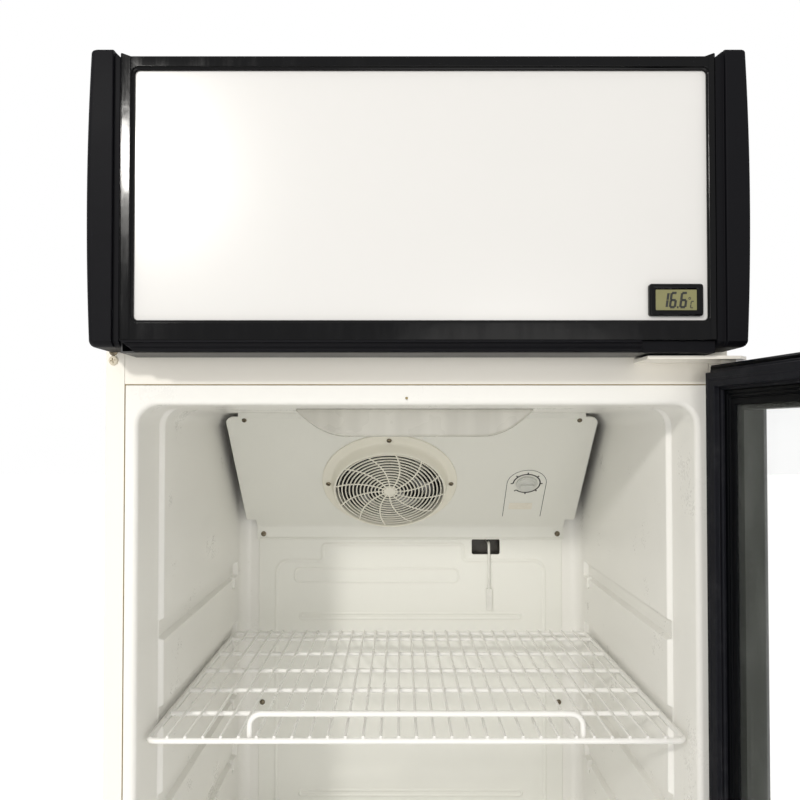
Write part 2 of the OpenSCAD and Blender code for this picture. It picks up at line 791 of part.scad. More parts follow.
module shelf_loop(i) color("white") {
    z = shelf_z(i);
    x = loop_w / 2 - frame_r;
    b = loop_bend_r;
    top = z + loop_h - frame_r;
    wire_x(b - x, x - b, loop_y, top, frame_r);
    for (s = [-1, 1]) {
        translate([s * x, loop_y, z - frame_r + 1]) cylinder(h = top - b - z + frame_r - 1, r = frame_r);
        translate([s * (x - b), loop_y, top - b]) rotate([90, 0, 0])
            rotate([0, 0, s > 0 ? 0 : 90]) rotate_extrude(angle = 90)
                translate([b, 0]) circle(frame_r);
    }
}

module shelf_deck_1() shelf_deck(0);
module shelf_deck_2() shelf_deck(1);
module shelf_deck_3() shelf_deck(2);
module shelf_deck_4() shelf_deck(3);
module shelf_loop_1() shelf_loop(0);
module shelf_loop_2() shelf_loop(1);
module shelf_loop_3() shelf_loop(2);
module shelf_loop_4() shelf_loop(3);

// ---------------------------------------------------------------- header

// side outline of the header, inset by t; open gives the front that the sign closes
module header_side(y0, t, open = 0) {
    back_cut = 60;
    slot_y = front_y - hinge_slot;
    polygon([[y0 - open, head_z + t], [slot_y - t, head_z + t], [slot_y - t, cab_top + t],
        [head_y1 - t, cab_top + t], [head_y1 - t, frame_z1 - back_cut - t],
        [head_y1 - back_cut - t, frame_z1 - t], [y0 - open, frame_z1 - t]]);
}

module header_tray() color("black") difference() {
    sideways(-cap_x, 2 * cap_x) header_side(tray_y0, 0);
    sideways(tray_t - cap_x, 2 * (cap_x - tray_t)) header_side(tray_y0, tray_t, cut);
}

// front outline of the right end cap, with its bowed outer edge
function bow_r() = (pow(head_h / 2, 2) + pow(cap_bow, 2)) / (2 * cap_bow);

module cap_front(inset) {
    r = bow_r();
    chamfer = 6;
    intersection() {
        translate([cap_x - (inset > 0 ? cut : 0), cap_z0 + inset])
            square([cap_w + cap_bow + cut, total_h - cap_z0 - 2 * inset]);
        translate([head_w / 2 + cap_bow - r - inset, head_z + head_h / 2])
            circle(r, $fn = 720);
        polygon([[cap_x - cut, head_z - cut], [half_w + 50, head_z - cut],
            [half_w + 50, total_h + cut], [cap_x + 2 * chamfer + cut, total_h + cut],
            [cap_x - cut, total_h - cap_lift]]);
    }
}

module cap_profile(inset) {
    back_cut = 60;
    slot_y = front_y - hinge_slot;
    y0 = head_y0 + inset;
    y1 = head_y1 - inset;
    z1 = total_h - inset;
    polygon([[y0, cap_z0 + inset + 6], [y0 + 6, cap_z0 + inset], [slot_y - inset, cap_z0 + inset],
        [slot_y - inset, cab_top + inset], [y1, cab_top + inset], [y1, z1 - back_cut],
        [y1 - back_cut, z1], [y0 + 4, z1], [y0, z1 - 4]]);
}

module header_cap() difference() {
    depth = cap_w + cap_bow + 2 * cut;
    intersection() {
        facing(head_y1 + cut, head_d + 2 * cut) cap_front(0);
        sideways(cap_x, depth) cap_profile(0);
    }
    intersection() {
        facing(head_y1 + cut, head_d + 2 * cut) cap_front(cap_t);
        sideways(cap_x - cut, depth) cap_profile(cap_t);
    }
}

module header_cap_right() color("black") header_cap();
module header_cap_left() color("black") mirror([1, 0, 0]) header_cap();

module header_frame() color("black") facing(frame_y0 + frame_t, frame_t) difference() {
    translate([-frame_x, frame_z0]) square([2 * frame_x, frame_z1 - frame_z0]);
    round_window([-view_x, view_x], [view_z0, view_z1], 5);
}

module header_panel() color("white")
    block([-view_x - 8, view_x + 8], [panel_y0, panel_y0 + panel_t], [view_z0 - 10, view_z1 + 10]);

module header_lip() color("black") {
    rib = 1.6;
    depth = 8;
    recess = 4;
    notch = [3, 3];
    difference() {
        facing(tray_y0, depth) polygon([[lip_left, frame_z0], [lip_left + 14, head_z],
            [lip_right, head_z], [lip_right, frame_z0]]);
        for (z = [0.3, 0.65])
            block([lip_left - cut, lip_right + cut], [tray_y0 - depth - cut, tray_y0 - depth + rib],
                [head_z + z * lip_h, head_z + z * lip_h + rib]);
    }
    difference() {
        block([lip_right - cut, -lip_left], [tray_y0 - depth + recess, tray_y0], [head_z, frame_z0]);
        for (x = [0.3, 0.65])
            translate([lip_right + x * (-lip_left - lip_right), tray_y0 - depth, head_z - cut])
                cube([notch[0], depth + cut, notch[1] + cut]);
    }
}

module header_lamp() color("white") {
    tube_r = 13;
    holder = [14, 30, 40];
    holder_x = cap_x - tray_t;
    y = (tray_y0 + head_y1) / 2 + 10;
    z = (view_z0 + view_z1) / 2;
    wire_x(holder[0] - holder_x, holder_x - holder[0], y, z, tube_r);
    for (s = [0, 1]) mirror([s, 0, 0])
        translate([holder_x - holder[0], y - holder[1] / 2, z - holder[2] / 2]) cube(holder);
}

module thermometer_bezel() color("black") difference() {
    facing(panel_y0, bezel_t) translate([bezel_x, bezel_z]) round_rect(bezel_w, bezel_h, 3);
    facing(panel_y0 - 3, bezel_t) translate([bezel_x, bezel_z])
        square([window_w, window_h], center = true);
}

module thermometer_display() color("darkkhaki")
    facing(panel_y0 - 3, 0.8) translate([bezel_x, bezel_z]) square([window_w, window_h], center = true);

// ---------------------------------------------------------------- hinges and door

module hinge_plate(z, up) {
    leg_h = 19;
    x0 = pin_x + 13 - hinge_l;
    ahead = pin_ahead + 20;
    difference() {
        block([x0, pin_x + 13], [front_y - ahead, front_y], [z, z + hinge_t]);
        translate([pin_x + 13, front_y - ahead, z + hinge_t / 2]) rotate([0, 0, 45])
            cube([14, 14, 2 * hinge_t], center = true);
    }
    block([x0, half_w - 2], [front_y - hinge_t, front_y],
        up ? [z, z + leg_h] : [z + hinge_t - leg_h, z + hinge_t]);
}

module hinge_plate_top() color("ivory") {
    hinge_plate(hinge_z, true);
    translate([pin_x, pin_y, door_z1 - pin_l]) cylinder(h = hinge_z - door_z1 + pin_l, r = pin_r);
    translate([pin_x, pin_y, door_z1 + soft_gap]) cylinder(h = hinge_gap - soft_gap, r = pin_r + 3);
}

module hinge_plate_bottom() color("ivory") {
    hinge_plate(low_hinge_z - hinge_t, false);
    translate([pin_x, pin_y, low_hinge_z]) cylinder(h = hinge_gap + pin_l, r = pin_r);
    translate([pin_x, pin_y, low_hinge_z]) cylinder(h = hinge_gap - soft_gap, r = pin_r + 3);
}

// turns children, drawn shut, to where the door stands
module swung() translate([pin_x, pin_y, 0]) rotate([0, 0, door_open]) translate([-pin_x, -pin_y, 0])
    children();

// one mitred side of the door frame, with the glass groove and the pin holes
module frame_side(outline) difference() {
    facing(door_y1, door_t) polygon(outline);
    block([-glass_x - soft_gap, glass_x + soft_gap],
        [outer_pane_y - pane_t - soft_gap, inner_pane_y + soft_gap],
        [glass_z[0] - soft_gap, glass_z[1] + soft_gap]);
    translate([pin_x, pin_y, door_z1 - pin_l - pin_end])
        cylinder(h = pin_l + pin_end + cut, r = pin_r + run_fit);
    translate([pin_x, pin_y, door_z0 - cut]) cylinder(h = pin_l + pin_end + cut, r = pin_r + run_fit);
}

module door_stile(s) color("black") swung() {
    x = s * door_w / 2;
    k = s * (door_w / 2 - stile_w);
    frame_side([[x, door_z0], [x, door_z1], [k, door_z1 - stile_w], [k, door_z0 + stile_w]]);
}

module door_stile_hinge() door_stile(1);
module door_stile_handle() door_stile(-1);

module door_rail(z, s) color("black") swung() {
    x = door_w / 2;
    frame_side([[-x, z], [x, z], [x - stile_w, z - s * stile_w], [stile_w - x, z - s * stile_w]]);
}

module door_rail_top() door_rail(door_z1, 1);
module door_rail_bottom() door_rail(door_z0, -1);

module gasket_ring(y, t, inset, w) facing(y, t) difference() {
    round_window([inset - door_w / 2, door_w / 2 - inset], [door_z0 + inset, door_z1 - inset], 6);
    round_window([inset + w - door_w / 2, door_w / 2 - inset - w],
        [door_z0 + inset + w, door_z1 - inset - w], 4);
}

module door_gasket() color("black") swung() {
    bulb_inset = gasket_inset + (gasket_w - gasket_bulb_w) / 2;
    gasket_ring(door_y1 + gasket_base_t, gasket_base_t, gasket_inset, gasket_w);
    gasket_ring(gasket_y1, gasket_y1 - door_y1 - gasket_base_t, bulb_inset, gasket_bulb_w);
}

module pane(y) block([-glass_x, glass_x], [y - pane_t, y], glass_z);

module glass_inner() color("lightblue", 0.3) swung() pane(inner_pane_y);
module glass_outer() color("lightblue", 0.3) swung() pane(outer_pane_y);

module glass_spacer() color("silver") swung() facing(spacer_y, pane_gap) difference() {
    w = 2 * glass_x;
    h = glass_z[1] - glass_z[0];
    inset = glass_bite - spacer_w + 4;
    translate([0, (glass_z[0] + glass_z[1]) / 2]) square([w - 2 * inset, h - 2 * inset], center = true);
    translate([0, (glass_z[0] + glass_z[1]) / 2])
        square([w - 2 * inset - 2 * spacer_w, h - 2 * inset - 2 * spacer_w], center = true);
}

module door_handle() color("black") swung() {
    x = -door_w / 2 + stile_w / 2 - handle_w / 2;
    post = 22;
    bar_y = door_y0 - handle_gap;
    block([x, x + handle_w], [bar_y - handle_bar_t, bar_y],
        [handle_z - handle_l / 2, handle_z + handle_l / 2]);
    for (z = [handle_z - handle_l / 2, handle_z + handle_l / 2 - post])
        block([x, x + handle_w], [bar_y, door_y0], [z, z + post]);
}

// ---------------------------------------------------------------- machine bay

module compressor() color("black") translate([compressor_at[0], compressor_at[1], bay_z0]) {
    dome_r = 90;
    plate_w = 190;
    plate_d = 110;
    plate_t = 3;
    leg_inset = 13;
    leg_r = 9;
    relay_w = 44;
    relay_h = 46;
    relay_d = 24;
    relay_out = 14;
    relay_lift = 30;
    dome_drop = sqrt(pow(dome_r, 2) - pow(compressor_r, 2));
    translate([0, 0, compressor_leg_h]) cylinder(h = compressor_h, r = compressor_r);
    translate([0, 0, compressor_leg_h + compressor_h]) intersection() {
        translate([0, 0, -dome_drop]) sphere(dome_r);
        cylinder(h = dome_r, r = compressor_r);
    }
    translate([-plate_w / 2, -plate_d / 2, compressor_leg_h - plate_t])
        cube([plate_w, plate_d, plate_t]);
    for (x = [-1, 1], y = [-1, 1])
        translate([x * (plate_w / 2 - leg_inset), y * (plate_d / 2 - leg_inset), 0])
            cylinder(h = compressor_leg_h, r = leg_r);
    translate([-compressor_r - relay_out, -relay_w / 2, compressor_leg_h + relay_lift])
        cube([relay_d, relay_w, relay_h]);
}

module condenser() color("gray") {
    fin_n = 26;
    fin_t = 1;
    tube_r = 4;
    x0 = condenser_x - condenser_w / 2;
    x1 = condenser_x + condenser_w / 2;
    z = [bay_z0, bay_z0 + condenser_h];
    for (x = [x0, x1 - 1.5])
        block([x, x + 1.5], [condenser_y, condenser_y + condenser_d], z);
    for (i = [1:fin_n - 1])
        block([x0 + i * condenser_w / fin_n - fin_t / 2, x0 + i * condenser_w / fin_n + fin_t / 2],
            [condenser_y + 2, condenser_y + condenser_d - 2], [z[0] + 4, z[1] - 4]);
    for (y = [0.3, 0.7], k = [0:4])
        wire_x(x0 - 6, x1 + 6, condenser_y + y * condenser_d, z[0] + (k + 0.5) * condenser_h / 5, tube_r);
}

// children drawn around the condenser fan's axis, with +Z towards the back
module on_shroud() translate([condenser_x, shroud_y, cfan_z]) rotate([-90, 0, 0]) children();

module condenser_fan() color("dimgray")
    on_shroud() mirror([0, 0, 1]) translate([0, 0, -4 - 24]) fan(condenser_fan_r, cfan_hub_r, 5, [0, 22],
        shaft_r + run_fit);

module condenser_fan_motor() color("dimgray") {
    motor_r = 28;
    motor_l = 40;
    arm = 10;
    ring_h = 34;
    on_shroud() {
        difference() {
            translate([-condenser_w / 2, -condenser_h / 2, 0]) cube([condenser_w, condenser_h, shroud_t]);
            translate([0, 0, -cut]) cylinder(h = shroud_t + 2 * cut, r = condenser_fan_r + 3);
        }
        for (a = [45, 135]) rotate([0, 0, a]) difference() {
            translate([-condenser_fan_r - 6, -arm / 2, 0]) cube([2 * condenser_fan_r + 12, arm, ring_h]);
            translate([-condenser_fan_r - 3, -arm, -cut]) cube([2 * condenser_fan_r + 6, 2 * arm, ring_h - 2]);
        }
        translate([0, 0, ring_h - 2]) cylinder(h = motor_l, r = motor_r);
        translate([0, 0, 10]) cylinder(h = ring_h, r = shaft_r);
    }
}

module electrical_box() color("dimgray") difference() {
    union() {
        block(box_x, box_y, box_z);
        wire_y(gland_at[0], box_y[1] - 4, box_y[1] + gland_l - 4, gland_at[1], gland_tube_r);
        translate([gland_at[0], box_y[1] + sheet_t, gland_at[1]]) rotate([-90, 0, 0])
            cylinder(h = 6, r = gland_tube_r + 4, $fn = 6);
    }
    wire_y(gland_at[0], box_y[1] - 4, box_y[1] + gland_l, gland_at[1], gland_r);
}

// ---------------------------------------------------------------- fasteners

// a pan head screw lying in X and Y, head upward along +Z, with a cross slot
module screw_head(r = 4.2, h = 2.2) difference() {
    cylinder(h = h, r = r);
    for (a = [0, 90]) rotate([0, 0, a]) translate([-0.6 * r, -0.4, h / 2]) cube([1.2 * r, 0.8, h]);
}

module facing_screw(x, y, z, r = 4.2) translate([x, y, z]) rotate([90, 0, 0]) screw_head(r);

module cabinet_screws() color("silver") {
    guard_screw_r = (guard_flange_r + guard_r) / 2;
    rear_screw_drop = 116;
    for (s = [-1, 1]) {
        facing_screw(s * (tab_w / 2 - 10), bend_y, bend_z - tab_h + 9);
        facing_screw(s * (rear_panel_w / 2 - 6), in_back - rear_panel_t, shelf_z(0) - rear_screw_drop);
        on_cover(s * (cover_w / 2 - 26), slope_l - 5) screw_head(3.4);
    }
    for (a = [0, 90, 180]) on_cover(fan_x, fan_v) rotate([0, 0, a])
        translate([guard_screw_r, 0, 3]) screw_head(3.6);
    for (z = [0, 9.5]) facing_screw(7 - half_w, front_y, head_z - 1 + z);
    for (x = [0.25, 0.55])
        facing_screw(pin_x + 13 - hinge_l * (1 - x), front_y - hinge_t, hinge_z + 11, 3.2);
}

side_panel_left();
side_panel_right();
top_panel();
back_panel();
base_pan();
bay_roof();
kick_grille();
levelling_feet();
foam_insulation();
liner_left();
liner_right();
liner_back();
liner_ceiling();
liner_floor();
liner_flange();
rear_panel();
lamp_lens();
lamp_board();
sensor_lead();
evaporator_cover();
evaporator_coil();
evaporator_fan();
evaporator_fan_motor();
fan_guard();
thermostat_body();
thermostat_knob();
shelf_deck_1();
shelf_deck_2();
shelf_deck_3();
shelf_deck_4();
shelf_loop_1();
shelf_loop_2();
shelf_loop_3();
shelf_loop_4();
header_tray();
header_cap_left();
header_cap_right();
header_frame();
header_panel();
header_lip();
header_lamp();
thermometer_bezel();
thermometer_display();
hinge_plate_top();
hinge_plate_bottom();
door_stile_hinge();
door_stile_handle();
door_rail_top();
door_rail_bottom();
door_gasket();
glass_outer();
glass_inner();
glass_spacer();
door_handle();
compressor();
condenser();
condenser_fan();
condenser_fan_motor();
electrical_box();
cabinet_screws();
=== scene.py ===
"""Looks of an upright glass door merchandiser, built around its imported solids.

The script is laid out as an add-on: settings, one operator for each group of pieces and a panel
that lists them. Run as a script it makes every piece in order. Lengths in the code are in
millimetres, in the frame of the solids: +X right, +Y into the cabinet, +Z up."""

import json
import math

import bmesh
import bpy
from mathutils import Matrix, Vector
from mathutils.geometry import tessellate_polygon


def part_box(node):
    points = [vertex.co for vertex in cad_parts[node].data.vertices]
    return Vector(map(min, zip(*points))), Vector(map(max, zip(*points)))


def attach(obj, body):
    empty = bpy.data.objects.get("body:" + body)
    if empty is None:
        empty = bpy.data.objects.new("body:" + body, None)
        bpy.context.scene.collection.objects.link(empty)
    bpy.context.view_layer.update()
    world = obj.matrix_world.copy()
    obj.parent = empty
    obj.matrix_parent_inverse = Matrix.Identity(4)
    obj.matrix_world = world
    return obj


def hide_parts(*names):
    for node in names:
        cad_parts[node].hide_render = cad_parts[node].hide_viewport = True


bl_info = {
    "name": "Glass Door Merchandiser",
    "version": (1, 0, 0),
    "blender": (4, 5, 0),
    "location": "View3D > Sidebar > Merchandiser",
    "description": "Dresses an upright glass door merchandiser in its finished pieces",
    "category": "Object",
}

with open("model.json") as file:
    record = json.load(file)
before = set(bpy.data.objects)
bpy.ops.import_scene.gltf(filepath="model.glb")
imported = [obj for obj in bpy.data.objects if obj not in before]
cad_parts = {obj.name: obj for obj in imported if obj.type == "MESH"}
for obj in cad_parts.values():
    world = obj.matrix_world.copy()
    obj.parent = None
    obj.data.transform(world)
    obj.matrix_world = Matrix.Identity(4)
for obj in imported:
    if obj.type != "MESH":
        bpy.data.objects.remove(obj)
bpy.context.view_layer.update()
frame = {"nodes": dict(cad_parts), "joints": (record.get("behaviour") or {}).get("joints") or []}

MM = 0.001

# Thickness of the sheets and shells
SHEET, LINER_WALL, LENS_WALL = 1.2, 1.6, 1.8

# Radii of the wires in the shelves
FRAME_WIRE, CROSS_WIRE, LONG_WIRE = 3, 2.8, 1.5


def span(node):
    """Lowest and highest corner of a solid, in millimetres."""
    low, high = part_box(node)
    return [c / MM for c in low], [c / MM for c in high]


# Planes of the cabinet, read from the solids
SIDE_LOW, SIDE_HIGH = span("side_panel_right")
HALF_W, FRONT_Y, BACK_Y = SIDE_HIGH[0], SIDE_LOW[1], SIDE_HIGH[1]
FOOT_Z, ROOF_Z = SIDE_LOW[2], SIDE_HIGH[2]
FLANGE_LOW, FLANGE_HIGH = span("liner_flange")
FOLD_X, BASE_Z, SEAM_Z = FLANGE_HIGH[0], FLANGE_LOW[2], FLANGE_HIGH[2]
CEIL_Z = span("liner_ceiling")[0][2]
FLOOR_Z = span("liner_floor")[1][2]
INNER_BACK = span("liner_back")[0][1]
WALL_X = span("liner_right")[0][0]
STRIP_X, STRIP_END = WALL_X + 6, FRONT_Y + 70  # the wider strip behind the mouth
GROOVE_X = WALL_X + 7  # the bottom of the guides pressed into the walls
DEEPEST_COVE = 18.0  # the guides end just ahead of it

# Guides and shelves
SHELF_BODIES = ["shelf_1", "shelf_2", "shelf_3", "shelf_4"]
SHELF_Z = [span(f"shelf_deck_{i + 1}")[0][2] + FRAME_WIRE for i in range(4)]
GUIDE_PITCH = (SHELF_Z[0] - SHELF_Z[1]) / 3
GUIDES = [SHELF_Z[0] + GUIDE_PITCH * (1 - k) for k in range(12)]
GROOVE_DROP, GROOVE_RISE = 3.3, 20.0  # a guide's lower edge below its shelf, and its height

# Sloped evaporator cover: u across, v up the slope from its lower bend, w out of the cover
COVER_LOW, COVER_HIGH = span("evaporator_cover")
COVER_AHEAD, TAB_DROP = 4, 21
BEND_Y, BEND_Z = INNER_BACK - COVER_AHEAD, COVER_LOW[2] + TAB_DROP
SLOPE = Vector((0, -0.702922, 0.711267))
OUTWARD = Vector((0, -0.711267, -0.702922))
SLOPE_L = 239.0
FAN_X, FAN_V = -32, 105
DIAL_X, DIAL_V = 174, 102

# Pocket for the sensor in the liner's back
POCKET_X, POCKET_Z, POCKET_DEEP = (98, 142.5), (BEND_Z - 45, BEND_Z - 21), 27

# Header
CAP_LOW, CAP_HIGH = span("header_cap_right")
CAP_X, CAP_FRONT, CAP_REAR = CAP_LOW[0], CAP_LOW[1], CAP_HIGH[1]
CAP_Z, HEADER_TOP = CAP_LOW[2], CAP_HIGH[2]
SIGN_LOW, SIGN_HIGH = span("header_frame")
LIP_LOW, LIP_HIGH = span("header_lip")

# Door, drawn shut and turned about its pins
HINGE = next(j for j in frame["joints"] if j["name"] == "door_hinge")
PIN_X, PIN_Y = HINGE["pos_m"][0] / MM, HINGE["pos_m"][1] / MM
DOOR_OPEN = math.radians(100)
DOOR_LOW, DOOR_TOP = span("door_stile_hinge")[0][2], span("door_stile_hinge")[1][2]
PIN_INSET, DOOR_GAP, DOOR_DEEP = 8, 10, 48
DOOR_HALF = PIN_X + PIN_INSET
DOOR_INNER, DOOR_OUTER = FRONT_Y - DOOR_GAP, FRONT_Y - DOOR_GAP - DOOR_DEEP
DOOR_CORNERS = [(-DOOR_HALF, DOOR_LOW), (DOOR_HALF, DOOR_LOW), (DOOR_HALF, DOOR_TOP),
                (-DOOR_HALF, DOOR_TOP)]


def linear(code):
    """A colour written as six hex digits, as linear red, green and blue."""
    parts = [int(code[i:i + 2], 16) / 255 for i in (0, 2, 4)]
    return tuple(c / 12.92 if c <= 0.04045 else ((c + 0.055) / 1.055) ** 2.4 for c in parts)


# ---------------------------------------------------------------- settings


def colour_setting(name, description, code):
    """A colour that a user may change, its default written as six hex digits."""
    return bpy.props.FloatVectorProperty(
        name=name, description=description, subtype="COLOR", size=3, min=0, max=1,
        default=linear(code))


def length_setting(name, description, mm):
    """A length that a user may change, its default in millimetres."""
    return bpy.props.FloatProperty(
        name=name, description=description, unit="LENGTH", subtype="DISTANCE", min=0,
        default=mm * MM, precision=4)


class MerchandiserColours(bpy.types.PropertyGroup):
    """Colours of the main finishes."""

    paint: colour_setting("Paint", "Powder coat on the cabinet's steel panels", "f7f3e9")
    liner: colour_setting("Liner", "Thermoformed inner liner", "f4f3ee")
    cover: colour_setting("Cover", "Evaporator cover and rear panel", "f1f1ea")
    guard: colour_setting("Fan guard", "Moulded fan guard", "f4f1e4")
    wire: colour_setting("Shelf coat", "Plastic coat on the shelf wires", "f6f5f1")
    cap: colour_setting("End caps", "Matt end caps of the header", "0a0a0e")
    gloss: colour_setting("Sign frame", "Glossy frame around the sign", "040405")
    sign: colour_setting("Sign", "Blank sign panel", "dddcda")
    door: colour_setting("Door frame", "Door frame profiles", "050608")
    gasket: colour_setting("Gasket", "Magnetic door gasket", "131419")
    display: colour_setting("Display", "Face of the thermometer's display", "7c7948")


class MerchandiserSizes(bpy.types.PropertyGroup):
    """Sizes of the finer shapes."""

    bend: length_setting("Sheet bend", "Outer radius of the panels' folds", 2.4)
    seam: length_setting("Seam", "Open seam between the panels and the liner flange", 0.9)
    mouth: length_setting("Mouth", "Radius of the rolled edge around the opening", 6.0)
    corner: length_setting("Corner", "Radius of the corners of the opening", 20.0)
    cove: length_setting("Cove", "Radius between the liner's back and its walls", 22.0)
    bead: length_setting("Bead", "Width of the beads pressed into the rear panel", 6.0)
    weld: length_setting("Weld", "Size of the coated welds on the shelves", 2.1)
    rings: bpy.props.IntProperty(
        name="Guard rings", description="Rings in the fan guard", min=4, max=16, default=13)
    spokes: bpy.props.IntProperty(
        name="Guard spokes", description="Swept spokes in the fan guard", min=4, max=16, default=12)


def colours():
    """The colour settings of the scene."""
    return bpy.context.scene.merchandiser_colours


def size_of(name):
    """A size from the settings, in millimetres."""
    return getattr(bpy.context.scene.merchandiser_sizes, name) / MM


# ---------------------------------------------------------------- shader sums


class Wire:
    """One socket of a node, which can be used in sums like a number."""

    def __init__(self, nodes, socket):
        self.nodes, self.socket = nodes, socket

    def maths(self, operation, *values):
        """Adds a Math node."""
        return self.nodes.node(
            "ShaderNodeMath", {"operation": operation}, dict(enumerate(values)))

    def __add__(self, other):
        return self.maths("ADD", self, other)

    __radd__ = __add__

    def __sub__(self, other):
        return self.maths("SUBTRACT", self, other)

    def __rsub__(self, other):
        return self.maths("SUBTRACT", other, self)

    def __mul__(self, other):
        return self.maths("MULTIPLY", self, other)

    __rmul__ = __mul__


class Nodes:
    """The node tree of a material or of the world, emptied and filled again."""

    def __init__(self, owner):
        owner.use_nodes = True
        self.tree = owner.node_tree
        self.tree.nodes.clear()

    def node(self, kind, settings=None, sockets=None, out=0):
        """Adds a node: its settings come first, then its sockets' values or links."""
        made = self.tree.nodes.new(kind)
        for key, value in (settings or {}).items():
            if key == "stops":
                while len(made.color_ramp.elements) < len(value):
                    made.color_ramp.elements.new(1.0)
                for element, (place, shade) in zip(made.color_ramp.elements, value):
                    element.position, element.color = place, (shade, shade, shade, 1)
            else:
                setattr(made, key, value)
        for key, value in (sockets or {}).items():
            self.feed(made.inputs[key], value)
        return Wire(self, made.outputs[out] if made.outputs else None)

    def feed(self, socket, value):
        """Links a wire to a socket, or sets the socket's own value."""
        if isinstance(value, Wire):
            self.tree.links.new(value.socket, socket)
        elif socket.type == "RGBA" and len(value) == 3:
            socket.default_value = (*value, 1)
        else:
            socket.default_value = value

    def seen_plainly(self):
        """1 for what the camera, gloss and glass see, 0 for the light that falls on things."""
        camera, gloss, glass = [self.node("ShaderNodeLightPath", out=f"Is {ray} Ray")
                                for ray in ("Camera", "Glossy", "Transmission")]
        return camera.maths("MAXIMUM", camera, camera.maths("MAXIMUM", gloss, glass))


class Paint(Nodes):
    """A material being mixed: a Principled shader and the nodes that feed it."""

    def __init__(self, name, **constants):
        self.material = bpy.data.materials.new(name)
        super().__init__(self.material)
        surface = self.node("ShaderNodeBsdfPrincipled")
        self.shader = surface.socket.node
        self.node("ShaderNodeOutputMaterial", {}, {"Surface": surface})
        self.set(**constants)

    def set(self, **sockets):
        """Feeds the shader's sockets, written with _ for each space in their names."""
        for name, value in sockets.items():
            self.feed(self.shader.inputs[name.replace("_", " ")], value)

    def place(self):
        """Places on the piece, in metres."""
        return self.node("ShaderNodeTexCoord", out="Object")

    def noise(self, scale, detail=3.0, rough=0.5, stretch=None):
        """Noise from 0 to 1; a stretch below 1 draws it out along that axis."""
        place = self.place()
        if stretch:
            place = self.node("ShaderNodeVectorMath", {"operation": "MULTIPLY"},
                              {0: place, 1: stretch})
        return self.node("ShaderNodeTexNoise", {}, {
            "Vector": place, "Scale": scale, "Detail": detail, "Roughness": rough})

    def ramp(self, value, *stops):
        """Shades of grey between stops of (place, shade)."""
        return self.node("ShaderNodeValToRGB", {"stops": stops}, {0: value})

    def mix(self, share, first, second):
        """A colour between two others."""
        return self.node("ShaderNodeMix", {"data_type": "RGBA"},
                         {0: share, 6: first, 7: second}, out=2)

    def bump(self, height, strength, distance):
        """A normal tilted by a height; the distance is in metres."""
        return self.node("ShaderNodeBump", {}, {
            "Height": height, "Strength": strength, "Distance": distance})


def darker(colour, share):
    """The colour with each part multiplied by share, which may be over 1."""
    return tuple(c * share for c in colour)


# ---------------------------------------------------------------- outlines


def rounded(points, radii, steps=5):
    """A closed outline with its corners rounded."""
    out = []
    for i, point in enumerate(points):
        radius = radii[i] if isinstance(radii, (list, tuple)) else radii
        here = Vector(point)
        if radius <= 0:
            out.append(tuple(here))
            continue
        back = (Vector(points[i - 1]) - here).normalized()
        ahead = (Vector(points[(i + 1) % len(points)]) - here).normalized()
        half = back.angle(ahead) / 2
        centre = here + (back + ahead).normalized() * (radius / math.sin(half))
        start = here + back * (radius / math.tan(half)) - centre
        end = here + ahead * (radius / math.tan(half)) - centre
        first = math.atan2(start.y, start.x)
        turn = (math.atan2(end.y, end.x) - first + math.pi) % (2 * math.pi) - math.pi
        out += [(centre.x + radius * math.cos(first + turn * k / steps),
                 centre.y + radius * math.sin(first + turn * k / steps))
                for k in range(steps + 1)]
    return out


def window(x0, x1, z0, z1, radius=0, steps=5):
    """A rectangle with rounded corners."""
    return rounded([(x0, z0), (x1, z0), (x1, z1), (x0, z1)], radius, steps)


def ellipse(u, v, ru, rv, steps=32):
    """A closed ring of points round (u, v)."""
    return [(u + ru * math.cos(math.tau * k / steps), v + rv * math.sin(math.tau * k / steps))
            for k in range(steps)]


def pocket_outline():
    """The pocket's edge in X and Z."""
    return window(*POCKET_X, *POCKET_Z, 3)


def arc(u, v, radius, start, end, steps):
    """Points along an arc, its angles in degrees."""
    return [(u + radius * math.cos(math.radians(start + (end - start) * k / steps)),
             v + radius * math.sin(math.radians(start + (end - start) * k / steps)))
            for k in range(steps + 1)]


def counterclockwise(outline):
    """The outline, reversed if it runs clockwise."""
    area = sum(a[0] * b[1] - b[0] * a[1] for a, b in zip(outline, outline[1:] + outline[:1]))
    return list(outline) if area > 0 else list(reversed(outline))


def offset(path, distance, closed=True):
    """The path moved sideways, to its left, with mitred corners."""
    out = []
    for i, point in enumerate(path):
        here = Vector(point)
        ways = []
        if closed or i:
            ways.append((here - Vector(path[i - 1])).normalized())
        if closed or i < len(path) - 1:
            ways.append((Vector(path[(i + 1) % len(path)]) - here).normalized())
        sides = [Vector((-way.y, way.x)) for way in ways]
        total = sides[0] + sides[-1]
        out.append(tuple(here + total * (distance / (1 + max(-0.8, sides[0].dot(sides[-1]))))))
    return out


def edge_levels(low, high, edge, under, steps=3):
    """Levels of a plate, each with its inset, so that its edges are rounded."""
    levels = []
    for k in range(steps + 1 if under else 1):
        turn = math.pi / 2 * k / steps
        levels.append((low + under * (1 - math.cos(turn)), under * (1 - math.sin(turn))))
    for k in range(steps + 1 if edge else 1):
        turn = math.pi / 2 * k / steps
        levels.append((high - edge * (1 - math.sin(turn)), edge * (1 - math.cos(turn))))
    return levels


# ---------------------------------------------------------------- shapes


def front(u, v, w):
    """Drawing on an upright plane: u across, v up, w towards the viewer."""
    return (u, -w, v)


def flat(u, v, w):
    """Drawing in the cabinet's own X, Y and Z."""
    return (u, v, w)


def sideways(u, v, w):
    """Drawing in Y and Z, with w along X."""
    return (w, u, v)


